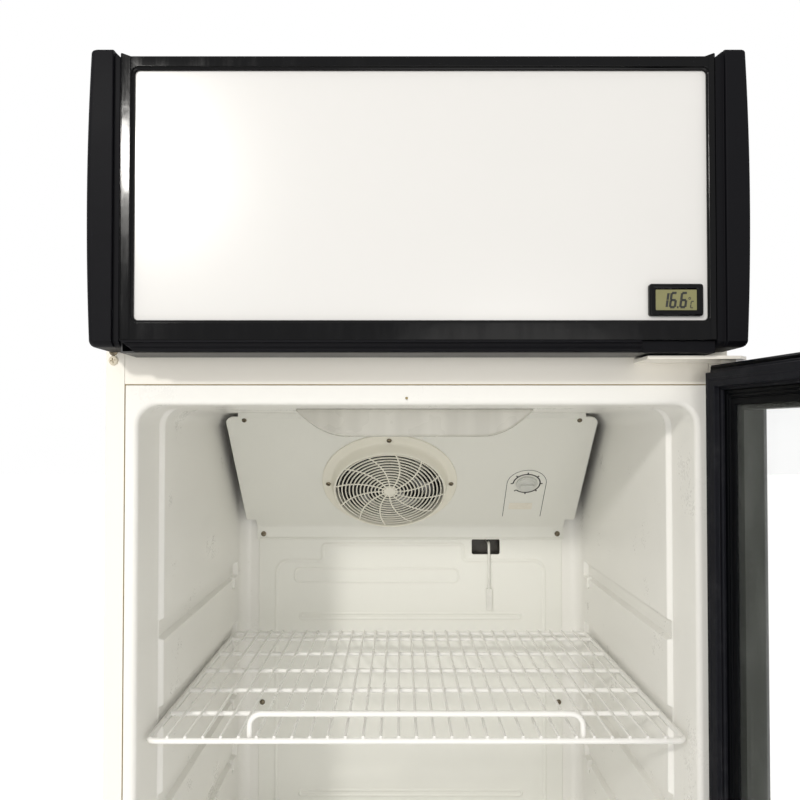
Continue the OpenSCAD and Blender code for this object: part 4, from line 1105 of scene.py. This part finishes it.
def wire_shelf(number):
    """A coated wire shelf: its frame, cross wires, close long wires and the stop loop in front."""
    low, high = span(f"shelf_deck_{number}")
    z = SHELF_Z[number - 1]
    x, y0, y1 = high[0] - FRAME_WIRE, low[1] + FRAME_WIRE, high[1] - FRAME_WIRE
    weld, cross_pitch, long_pitch = size_of("weld"), 78, 18.0
    shape = Shape()
    shape.tube([(u, v, z) for u, v in window(-x, x, y0, y1, 9, 6)], FRAME_WIRE, 12, looped=True)
    count = int((y1 - y0 - 26) / cross_pitch)
    cross = [y0 + cross_pitch * k for k in range(1, count + 1)]
    for y in cross:
        shape.tube([(-x, y, z), (0, y, z), (x, y, z)], CROSS_WIRE)
    for k in range(-14, 15):
        at, level = long_pitch * k, z + 3.9
        shape.tube([(at, y0 - 1, level), (at, 0, level), (at, y1 + 1, level)], LONG_WIRE, 8)
        for y in (y0, *cross, y1):
            shape.dome(weld, (at, y, z + 2.9))
    low, high = span(f"shelf_loop_{number}")
    reach, top, y = high[0] - FRAME_WIRE, high[2] - FRAME_WIRE, (low[1] + high[1]) / 2
    path = [(-reach, z - 2), *arc(12 - reach, top - 12, 12, 180, 90, 6),
            *arc(reach - 12, top - 12, 12, 90, 0, 6), (reach, z - 2)]
    shape.tube([(u, y, v) for u, v in path], FRAME_WIRE, 12)
    shape.piece(f"wire_shelf_{number}", SHELF_BODIES[number - 1], shelf_coat(), "shelf_white",
                [f"shelf_deck_{number}", f"shelf_loop_{number}"], sharp=50)


# ---------------------------------------------------------------- header


def end_cap(side, name, node, rabbet, corner):
    """Matt end cap: bowed outside, with a narrow rabbet by the sign and a sloping inner top."""
    slot, middle, high = FRONT_Y - 6.5, (HEADER_TOP + CAP_Z - 5) / 2, HEADER_TOP
    bow, half = 3.5, 141
    rows = [(CAP_Z, 3), (CAP_Z + 0.4, 1.6), (CAP_Z + 1.4, 0.5), (CAP_Z + 3, 0), (CAP_Z + 5, 0),
            (ROOF_Z - 0.01, 0), (ROOF_Z, 0)]
    rows += [(ROOF_Z + (high - 3 - ROOF_Z) * k / 18, 0) for k in range(1, 19)]
    rows += [(high - 1.4, 0.5), (high - 0.4, 1.6), (high, 3)]

    def place(u, v, w):
        """Lowers the cap's top towards its inner side."""
        share = max(0.0, 1 - (high - w) / 8)
        return (side * u, v, w - share * max(0.0, 6 * (1 - (u - CAP_X) / 6)))

    shape, rings = Shape(place), []
    for z, inset in rows:
        outer = CAP_HIGH[0] - bow * ((z - middle) / half) ** 2 - inset
        fore = CAP_FRONT + max(0.0, 5 - z + CAP_Z) + inset
        rear = slot if z < ROOF_Z else CAP_REAR - max(0.0, z - high + 60)
        ring = rounded([(CAP_X, fore + 4), (CAP_X + rabbet, fore + 4), (CAP_X + rabbet, fore),
                        (outer, fore), (outer, rear), (CAP_X, rear)],
                       [0.8, 0.8, 1.2, corner, 4, 1], 4)
        rings.append(shape.ring([(u, v, z) for u, v in ring]))
    shape.skin(rings).cap(rings[0]).cap(rings[-1])
    shape.piece(name, "cabinet", cap_plastic(), "cap_black", [node])


def sign():
    """Glossy frame with a stepped inner edge around the blank sign panel."""
    x1, z0, z1 = SIGN_HIGH[0], SIGN_LOW[2], SIGN_HIGH[2]
    back, face = -SIGN_HIGH[1], -SIGN_LOW[1]
    left, right, low_z, high_z = -264, 269.2, z0 + 19, z1 - 12
    shape = Shape(front)
    outline = rounded([(-x1, z0), (x1, z0), (x1, z1 + 3.5), (267, z1), (-267, z1),
                       (-x1, z1 + 3.5)], [1, 1, 1, 3, 3, 1], 3)
    inner = window(left - 2.2, right + 2.2, low_z - 2.2, high_z + 2.2, 6, 5)
    shape.plate(outline, back + 0.3, face - 1.2, 0.7, holes=[inner])
    for x, width in ((left - 7, 9), (right + 3.9, 6)):
        half = width / 2
        shape.sweep([(x, z0 + 1), (x, z1 - 1)],
                    [(-half, face - 1.6), (-half, face - 1), (0.9 - half, face - 0.3),
                     (half - 0.9, face - 0.3), (half, face - 1), (half, face - 1.6)], closed=False)
    edge = window(left, right, low_z, high_z, 4, 5)
    shape.sweep(edge, [(0, back + 0.05), (0, back + 1.6), (-0.5, back + 2.4), (-1.6, back + 2.7),
                       (-2.4, back + 3.3), (-2.5, back + 0.05)])
    shape.piece("sign_frame", "cabinet", sign_gloss(), "frame_black", ["header_frame"])
    low, high = span("header_panel")
    panel = Shape(front)
    panel.plate(window(low[0], high[0], low[2], high[2], 2), -high[1], -low[1], 0.5)
    panel.piece("sign_panel", "cabinet", sign_acrylic(), "sign_white", ["header_panel"])


def sign_lip():
    """Ribbed lip under the sign, its left end slanted, with a plain strip set back on the right."""
    x0, x1, x2 = LIP_LOW[0], 207, LIP_HIGH[0]
    y0, y1, z0, z1 = LIP_LOW[1], LIP_HIGH[1], LIP_LOW[2], LIP_HIGH[2]
    outline = [(y1, z0), (y0 + 1, z0), (y0, z0 + 0.8), (y0, z0 + 2.4), (y0 + 1.4, z0 + 3),
               (y0 + 1.4, z0 + 4.4), (y0, z0 + 5), (y0, z0 + 6.4), (y0 + 1.4, z0 + 7),
               (y0 + 1.4, z0 + 8.4), (y0, z0 + 9), (y0, z1), (y1, z1)]
    shape = Shape(lambda u, v, w: (w if w > 0 else w + 14 * (z1 - v) / (z1 - z0), u, v))
    shape.plate(outline, x0, x1, 0.5, 0.5)
    shape.place = front
    shape.plate(window(x1 - 1, x2, z0, z1, 0.6, 3), -y1, -y0 - 4, 0.4)
    shape.piece("sign_lip", "cabinet", cap_plastic(), "cap_black", ["header_lip"])


SEGMENTS = {"1": "bc", "6": "acdefg", "C": "adef"}


def digit(shape, letter, u, v, wide, tall, bar, low, high):
    """A seven segment figure, leaning a little, drawn with plates."""
    half = tall / 2
    spots = {"a": (0, tall, wide, tall), "g": (0, half, wide, half), "d": (0, 0, wide, 0),
             "f": (0, half, 0, tall), "b": (wide, half, wide, tall),
             "e": (0, 0, 0, half), "c": (wide, 0, wide, half)}
    for name in SEGMENTS[letter]:
        a, b, c, d = spots[name]
        t, gap = bar / 2, 0.18
        if b == d:
            box = [(a + gap, b - t), (c - gap, b - t), (c - gap, b + t), (a + gap, b + t)]
        else:
            box = [(a - t, b + gap), (a + t, b + gap), (a + t, d - gap), (a - t, d - gap)]
        shape.plate([(u + p + 0.14 * q, v + q) for p, q in box], low, high)


def thermometer():
    """Small panel thermometer in the corner of the sign, showing a temperature."""
    low, high = span("thermometer_bezel")
    mx, mz = (low[0] + high[0]) / 2, (low[2] + high[2]) / 2
    shown, shown_high = span("thermometer_display")
    back, face = -high[1], -low[1]
    shape = Shape(front)
    hole = window(shown[0], shown_high[0], shown[2], shown_high[2], 0.8, 3)
    shape.plate(window(low[0], high[0], low[2], high[2], 2.5), back, face, 1.6, holes=[hole])
    shape.piece("thermometer_case", "cabinet", sign_gloss(), "gloss_black", ["thermometer_bezel"])
    level = -shown[1]
    glass = Shape(front)
    glass.plate(window(shown[0], shown_high[0], shown[2], shown_high[2]), level - 0.75, level)
    glass.piece("thermometer_face", "cabinet", display_face(), "display_olive",
                ["thermometer_display"])
    ink, over = Shape(front), (level + 0.02, level + 0.12)
    for letter, at in (("1", -13.6), ("6", -6), ("6", 3.6)):
        digit(ink, letter, mx + at, mz - 6.8, 4.6, 13.2, 2.2, *over)
    ink.plate(window(mx + 0.5, mx + 2, mz - 7.8, mz - 5.9), *over)
    digit(ink, "C", mx + 13, mz - 7.4, 2.4, 6, 0.9, *over)
    ink.sweep(ellipse(mx + 12.4, mz + 1.4, 0.9, 0.9, 12), [(-0.3, over[0]), (-0.3, over[1]),
                                                       (0.3, over[1]), (0.3, over[0])])
    ink.piece("thermometer_figures", "cabinet", display_ink(), "display_olive")


# ---------------------------------------------------------------- door

DOOR_PROFILE = [(0, -46), (0, -2), (2, 0), (3.6, 0), (4.2, -0.6), (25.6, -0.6), (26.3, 0),
                (28.6, 0), (29.1, -0.9), (29.7, -0.9), (30.2, -0.2), (32, -0.2), (32.6, -1.3),
                (33.3, -1.3), (34, -0.7), (38.8, -0.9), (40, -1.6), (40, -2.7), (27.7, -2.7),
                (27.7, -31.3), (31, -31.3), (31, -33.5), (22, -45.5), (18.5, -47.6),
                (15, -48), (2, -48)]
GASKET_PROFILE = [(5, 0), (5, 2), (6, 2.9), (8.4, 3.1), (7.4, 4.3), (8, 5.4), (8, 8.6), (8.5, 9.3),
                  (9.4, 9.5), (13.4, 9.5), (14, 9.1), (16, 9.1), (16.6, 9.5), (20.6, 9.5),
                  (21.5, 9.3), (22, 8.6), (22, 5.4), (22.6, 4.3), (21.6, 3.1), (24, 2.9), (25, 2),
                  (25, 0)]


def door_members():
    """Four mitred profiles of the door frame."""
    rails = [offset(DOOR_CORNERS, across) for across, _ in DOOR_PROFILE]
    names = ["door_rail_bottom", "door_stile_hinge", "door_rail_top", "door_stile_handle"]
    for side, node in enumerate(names):
        shape = Shape(on_door)
        rings = [shape.ring([(*rail[corner % 4], level)
                             for rail, (_, level) in zip(rails, DOOR_PROFILE)])
                 for corner in (side, side + 1)]
        shape.skin(rings).cap(rings[0]).cap(rings[1])
        shape.piece(f"{node}_profile", "door", door_metal(), "dark_steel", [node], sharp=25)


def door_gasket():
    """Magnetic gasket with a pleat on each side, mitred at the corners."""
    shape = Shape(on_door)
    shape.sweep(DOOR_CORNERS, GASKET_PROFILE)
    shape.piece("door_gasket_pleated", "door", gasket_rubber(), "gasket_black", ["door_gasket"],
                sharp=30)


def spacer_holes():
    """Row of small holes along the spacer bars, which dry the air between the panes, drawn as thin
    dark tiles of painted shade.
    """
    inset, pitch, depth = 44.15, 10.3, (-12.9, -11.1)
    reach, low, high = DOOR_HALF - inset, DOOR_LOW + inset, DOOR_TOP - inset
    shape = Shape(on_door)

    def hole(u, v, half_u, half_v):
        """One hole, a thin dark tile of painted shade in the bar's face."""
        shape.plate(window(u - half_u, u + half_u, v - half_v, v + half_v), *depth)

    for side in (-1, 1):
        for k in range(int((high - low - 20) / pitch)):
            hole(side * reach, low + 10 + pitch * k, 0.1, 1)
        for k in range(int((2 * reach - 20) / pitch)):
            hole(-reach + 10 + pitch * k, high if side > 0 else low, 1, 0.1)
    shape.piece("spacer_holes", "door", dial_ink(), "spacer_metal")


def door_handle():
    """Bow handle, one bent bar with rounded edges."""
    low, high = span("door_handle")
    x0 = -DOOR_HALF + 10
    middle = (low[2] + high[2]) / 2
    z0, z1 = middle - 140, middle + 140
    outline = rounded([(0, z0), (46, z0), (46, z1), (0, z1), (0, z1 - 22), (32, z1 - 22),
                       (32, z0 + 22), (0, z0 + 22)], [0, 14, 14, 0, 0, 9, 9, 0], 6)
    shape = Shape(lambda u, v, w: swung(x0 + w, DOOR_OUTER - u, v))
    shape.plate(outline, 0, 20, 4, 4, steps=4)
    shape.piece("door_handle_bow", "door", cap_plastic(), "cap_black", ["door_handle"])


# ---------------------------------------------------------------- screws


def screws():
    """Pan head screws of the cabinet."""
    shape = Shape(front)
    hinge = span("hinge_plate_top")[1]
    screw(shape, 8 - HALF_W, CAP_Z + 1.5, -FRONT_Y)
    for side in (-1, 1):
        screw(shape, side * 234, COVER_LOW[2] + 9, -BEND_Y)
        screw(shape, side * 235.5, SHELF_Z[0] - 116, -(INNER_BACK - 2))
    for across in (0.25, 0.55):
        screw(shape, PIN_X + 13 - 97 * (1 - across), hinge[2] - 8, -(FRONT_Y - 3), 3.2)
    shape.place = on_cover
    for side in (-1, 1):
        screw(shape, side * 233, SLOPE_L - 5, 0, 3.4)
    for turn in (0, 90, 180):
        screw(shape, FAN_X + 92 * math.cos(math.radians(turn)),
              FAN_V + 92 * math.sin(math.radians(turn)), 3.05, 3.6)
    shape.piece("pan_head_screws", "cabinet", screw_steel(), "screw_steel", ["cabinet_screws"])
    pale = Shape(front)
    screw(pale, 8 - HALF_W, CAP_Z - 7.5, -FRONT_Y, 4.8, slot=0.5)
    pale.piece("painted_screw", "cabinet", painted_screw(), "cream_paint")
    # Two thin dark plates on the hinge leg: painted shade standing in for its two slots
    slot_shade = Shape(front)
    for x in (226, 250):
        slot_shade.plate(window(x - 0.8, x + 0.8, hinge[2] - 15.9, hinge[2] - 12.5), 2.6 - FRONT_Y,
                    3.2 - FRONT_Y)
    slot_shade.piece("hinge_slots", "cabinet", dial_ink(), "cream_paint")


# ---------------------------------------------------------------- solids that stay


@once
def dark_steel():
    """The levelling feet."""
    return metal("dark_steel", "1c1d1f", "2c2d2f", 0.4, metallic=0.8)


@once
def grille_plastic():
    """The kick grille and the electrical box."""
    return moulded("grille_plastic", "17181a", "232427", 0.5)


@once
def board_white():
    """The board that carries the lamps."""
    return moulded("board_white", "dcdcd6", "ecebe4", 0.4, 60, 800, 0.03)


@once
def lead_plastic():
    """The sensor's sleeve."""
    return moulded("lead_plastic", "e2e2dc", "f0efe9", 0.42, 60, 500, 0.04)


@once
def coil_fins():
    """Bright fins, drawn out along their height."""
    return metal("coil_fins", "9b9fa1", "c4c8ca", 0.34, 40, 700, (1, 1, 0.1))


@once
def condenser_fins():
    """Dark fins, drawn out along their height."""
    return metal("condenser_fins", "2a2b2c", "47494a", 0.45, 40, 700, (1, 1, 0.1), 0.7)


@once
def hinge_paint():
    """The cabinet's coat over thicker steel."""
    return coat("hinge_paint", colours().paint, 0.36, 420, 0.05, 0.04, Coat_Weight=0.12,
                Coat_Roughness=0.2)


@once
def fan_plastic():
    """Blades, motors and the thermostat's body."""
    return moulded("fan_plastic", "131415", "242527", 0.4, 30, 600, 0.04)


@once
def compressor_enamel():
    """Glossy enamel, dusty in patches."""
    return moulded("compressor_enamel", "101112", "1f2022", 0.26, 16, 240, 0.2)


@once
def tube_white():
    """The lamp in the header."""
    return moulded("tube_white", "ecece8", "f6f6f3", 0.3, 40, 500, 0.02)


@once
def tray_steel():
    """The dark tray behind the sign."""
    return moulded("tray_steel", "141517", "1e1f21", 0.42, 18, 500, 0.06)


@once
def pan_steel():
    """Galvanised base pan."""
    return metal("pan_steel", "55585a", "85898b", 0.42, 20, 300, metallic=0.9)


STAYING = [
    (cabinet_paint, 0.3, ["back_panel", "bay_roof"]),
    (pan_steel, 0.3, ["base_pan"]),
    (grille_plastic, 0.4, ["kick_grille"]),
    (dark_steel, 0.4, ["levelling_feet"]),
    (foam, 0, ["foam_insulation"]),
    (board_white, 0.2, ["lamp_board"]),
    (lead_plastic, 0.3, ["sensor_lead"]),
    (coil_fins, 0, ["evaporator_coil"]),
    (fan_plastic, 0.3, ["evaporator_fan", "evaporator_fan_motor", "thermostat_body",
                        "condenser_fan", "condenser_fan_motor"]),
    (tray_steel, 0.4, ["header_tray"]),
    (tube_white, 0.4, ["header_lamp"]),
    (hinge_paint, 0.5, ["hinge_plate_top", "hinge_plate_bottom"]),
    (pane_glass, 0.3, ["glass_outer", "glass_inner"]),
    (spacer_metal, 0.2, ["glass_spacer"]),
    (compressor_enamel, 0.8, ["compressor"]),
    (condenser_fins, 0, ["condenser"]),
    (grille_plastic, 0.8, ["electrical_box"]),
]


def dress_solids():
    """Gives the solids that stay their finishes and takes the sharpness off their edges."""
    for finish, edge, nodes in STAYING:
        for node in nodes:
            solid = frame["nodes"][node]
            for holder in solid.material_slots:
                holder.link = "OBJECT"
                holder.material = finish()
            if edge:
                bevel = solid.modifiers.new("edge", "BEVEL")
                bevel.width, bevel.segments = edge * MM, 2
                bevel.limit_method, bevel.angle_limit = "ANGLE", math.radians(40)
                bevel.use_clamp_overlap = True
                bevel.harden_normals = True


# ---------------------------------------------------------------- stage


def floor_paint():
    """Plain pale floor that shows as white to the camera beyond the shadows."""
    mixed = Paint("floor_paint", Specular_IOR_Level=0.2, Emission_Strength=1.0)
    cloud = mixed.noise(2.0, 2, 0.5)
    mixed.set(Base_Color=mixed.mix(cloud, (0.86, 0.86, 0.86), (0.88, 0.88, 0.88)),
              Roughness=0.7 + (cloud - 0.5) * 0.05,
              Emission_Color=mixed.mix(mixed.seen_plainly(), (0, 0, 0), (0.4, 0.4, 0.4)))
    return mixed.material


def lay_floor():
    """A floor that reaches past all that the camera sees."""
    sheet = bmesh.new()
    bmesh.ops.create_grid(sheet, x_segments=12, y_segments=12, size=30)
    data = bpy.data.meshes.new("floor")
    sheet.to_mesh(data)
    sheet.free()
    floor = bpy.data.objects.new("floor", data)
    bpy.context.scene.collection.objects.link(floor)
    data.materials.append(floor_paint())


def light_world():
    """Soft light from all round, in front of a background that shows as white."""
    world = bpy.data.worlds.new("studio")
    bpy.context.scene.world = world
    sky = Nodes(world)
    dim = sky.node("ShaderNodeBackground", {}, {"Color": (1.0, 0.985, 0.96), "Strength": 0.8})
    white = sky.node("ShaderNodeBackground", {}, {"Color": (1, 1, 1), "Strength": 1.0})
    shown = sky.node("ShaderNodeMixShader", {}, {0: sky.seen_plainly(), 1: dim, 2: white})
    sky.node("ShaderNodeOutputWorld", {}, {"Surface": shown})


def lamp(name, place, target, size, watts, colour=(1, 1, 1)):
    """A round lamp that shines from its place, in metres, towards a target."""
    light = bpy.data.lights.new(name, "AREA")
    light.shape, light.size, light.energy, light.color = "DISK", size, watts, colour
    holder = bpy.data.objects.new(name, light)
    bpy.context.scene.collection.objects.link(holder)
    holder.location = place
    holder.rotation_euler = (Vector(target) - Vector(place)).to_track_quat("-Z", "Y").to_euler()


def set_camera():
    """The camera, at eye height and close in front of the opening."""
    view = bpy.data.cameras.new("camera")
    view.sensor_width, view.lens = 36.0, 35.1
    view.shift_y = 0.0208
    view.clip_start, view.clip_end = 0.02, 60
    holder = bpy.data.objects.new("camera", view)
    bpy.context.scene.collection.objects.link(holder)
    holder.location = (-0.0166, -1.0409, 1.637)
    holder.rotation_euler = (math.radians(91.23), 0, 0)
    bpy.context.scene.camera = holder


def set_stage():
    """Floor, light and camera."""
    lay_floor()
    light_world()
    lamp("key", (-1.217, -2.99, 2.85), (0, 0, 1.5), 0.26, 37, (1.0, 0.975, 0.93))
    lamp("fill", (0.5, -3.2, 1.45), (0.1, 0, 1.3), 1.6, 13, (1.0, 0.98, 0.94))
    lamp("rear", (0.6, 3.2, 2.6), (0, 0, 1.0), 2.4, 26)
    set_camera()
    bpy.context.scene.view_settings.view_transform = "Standard"


# ---------------------------------------------------------------- add-on


class MakeCabinet(bpy.types.Operator):
    """Folded side panels, roof panel and the moulded liner"""
    bl_idname = "merchandiser.make_cabinet"
    bl_label = "Cabinet and liner"

    def execute(self, context):
        side_skin(1, "side_skin_right", "side_panel_right")
        side_skin(-1, "side_skin_left", "side_panel_left")
        roof_skin()
        liner_shell()
        rear_panel()
        return {"FINISHED"}


class MakeEvaporator(bpy.types.Operator):
    """Lamp lens, evaporator cover, fan guard and thermostat dial"""
    bl_idname = "merchandiser.make_evaporator"
    bl_label = "Evaporator cover, fan guard and dial"

    def execute(self, context):
        lamp_lens()
        evaporator_cover()
        fan_guard()
        thermostat()
        return {"FINISHED"}


class MakeShelves(bpy.types.Operator):
    """Four coated wire shelves"""
    bl_idname = "merchandiser.make_shelves"
    bl_label = "Wire shelves"

    def execute(self, context):
        for number in range(1, 5):
            wire_shelf(number)
        return {"FINISHED"}


class MakeHeader(bpy.types.Operator):
    """End caps, sign frame, blank sign, lip and thermometer"""
    bl_idname = "merchandiser.make_header"
    bl_label = "Header and thermometer"

    def execute(self, context):
        end_cap(1, "end_cap_right", "header_cap_right", 8, 2.2)
        end_cap(-1, "end_cap_left", "header_cap_left", 5.5, 5)
        sign()
        sign_lip()
        thermometer()
        return {"FINISHED"}


class MakeDoor(bpy.types.Operator):
    """Door profiles, gasket, painted shade of the spacer holes and handle"""
    bl_idname = "merchandiser.make_door"
    bl_label = "Door"

    def execute(self, context):
        door_members()
        door_gasket()
        spacer_holes()
        door_handle()
        return {"FINISHED"}


class MakeScrews(bpy.types.Operator):
    """Pan head screws"""
    bl_idname = "merchandiser.make_screws"
    bl_label = "Screws"

    def execute(self, context):
        screws()
        return {"FINISHED"}


class DressSolids(bpy.types.Operator):
    """Finishes and softened edges for the solids that stay as they are"""
    bl_idname = "merchandiser.dress_solids"
    bl_label = "Finishes of the plain solids"

    def execute(self, context):
        dress_solids()
        return {"FINISHED"}


class SetStage(bpy.types.Operator):
    """Floor, light and camera"""
    bl_idname = "merchandiser.set_stage"
    bl_label = "Stage"

    def execute(self, context):
        set_stage()
        return {"FINISHED"}


OPERATORS = (MakeCabinet, MakeEvaporator, MakeShelves, MakeHeader, MakeDoor, MakeScrews,
             DressSolids, SetStage)


class MerchandiserPanel(bpy.types.Panel):
    """Pieces, sizes and colours of the merchandiser"""
    bl_idname = "VIEW3D_PT_merchandiser"
    bl_label = "Glass Door Merchandiser"
    bl_space_type = "VIEW_3D"
    bl_region_type = "UI"
    bl_category = "Merchandiser"

    def draw(self, context):
        for group in (context.scene.merchandiser_colours, context.scene.merchandiser_sizes):
            for name in group.bl_rna.properties.keys():
                if name not in ("rna_type", "name"):
                    self.layout.prop(group, name)
        for operator in OPERATORS:
            self.layout.operator(operator.bl_idname)


CLASSES = (MerchandiserColours, MerchandiserSizes, *OPERATORS, MerchandiserPanel)


def register():
    """Makes the settings, operators and panel known to Blender."""
    for made in CLASSES:
        bpy.utils.register_class(made)
    bpy.types.Scene.merchandiser_colours = bpy.props.PointerProperty(type=MerchandiserColours)
    bpy.types.Scene.merchandiser_sizes = bpy.props.PointerProperty(type=MerchandiserSizes)


def unregister():
    """Takes them out again."""
    del bpy.types.Scene.merchandiser_colours
    del bpy.types.Scene.merchandiser_sizes
    for made in reversed(CLASSES):
        bpy.utils.unregister_class(made)


def main():
    """Makes every piece in order."""
    register()
    bpy.ops.merchandiser.make_cabinet()
    bpy.ops.merchandiser.make_evaporator()
    bpy.ops.merchandiser.make_shelves()
    bpy.ops.merchandiser.make_header()
    bpy.ops.merchandiser.make_door()
    bpy.ops.merchandiser.make_screws()
    bpy.ops.merchandiser.dress_solids()
    bpy.ops.merchandiser.set_stage()


if __name__ == "__main__":
    main()
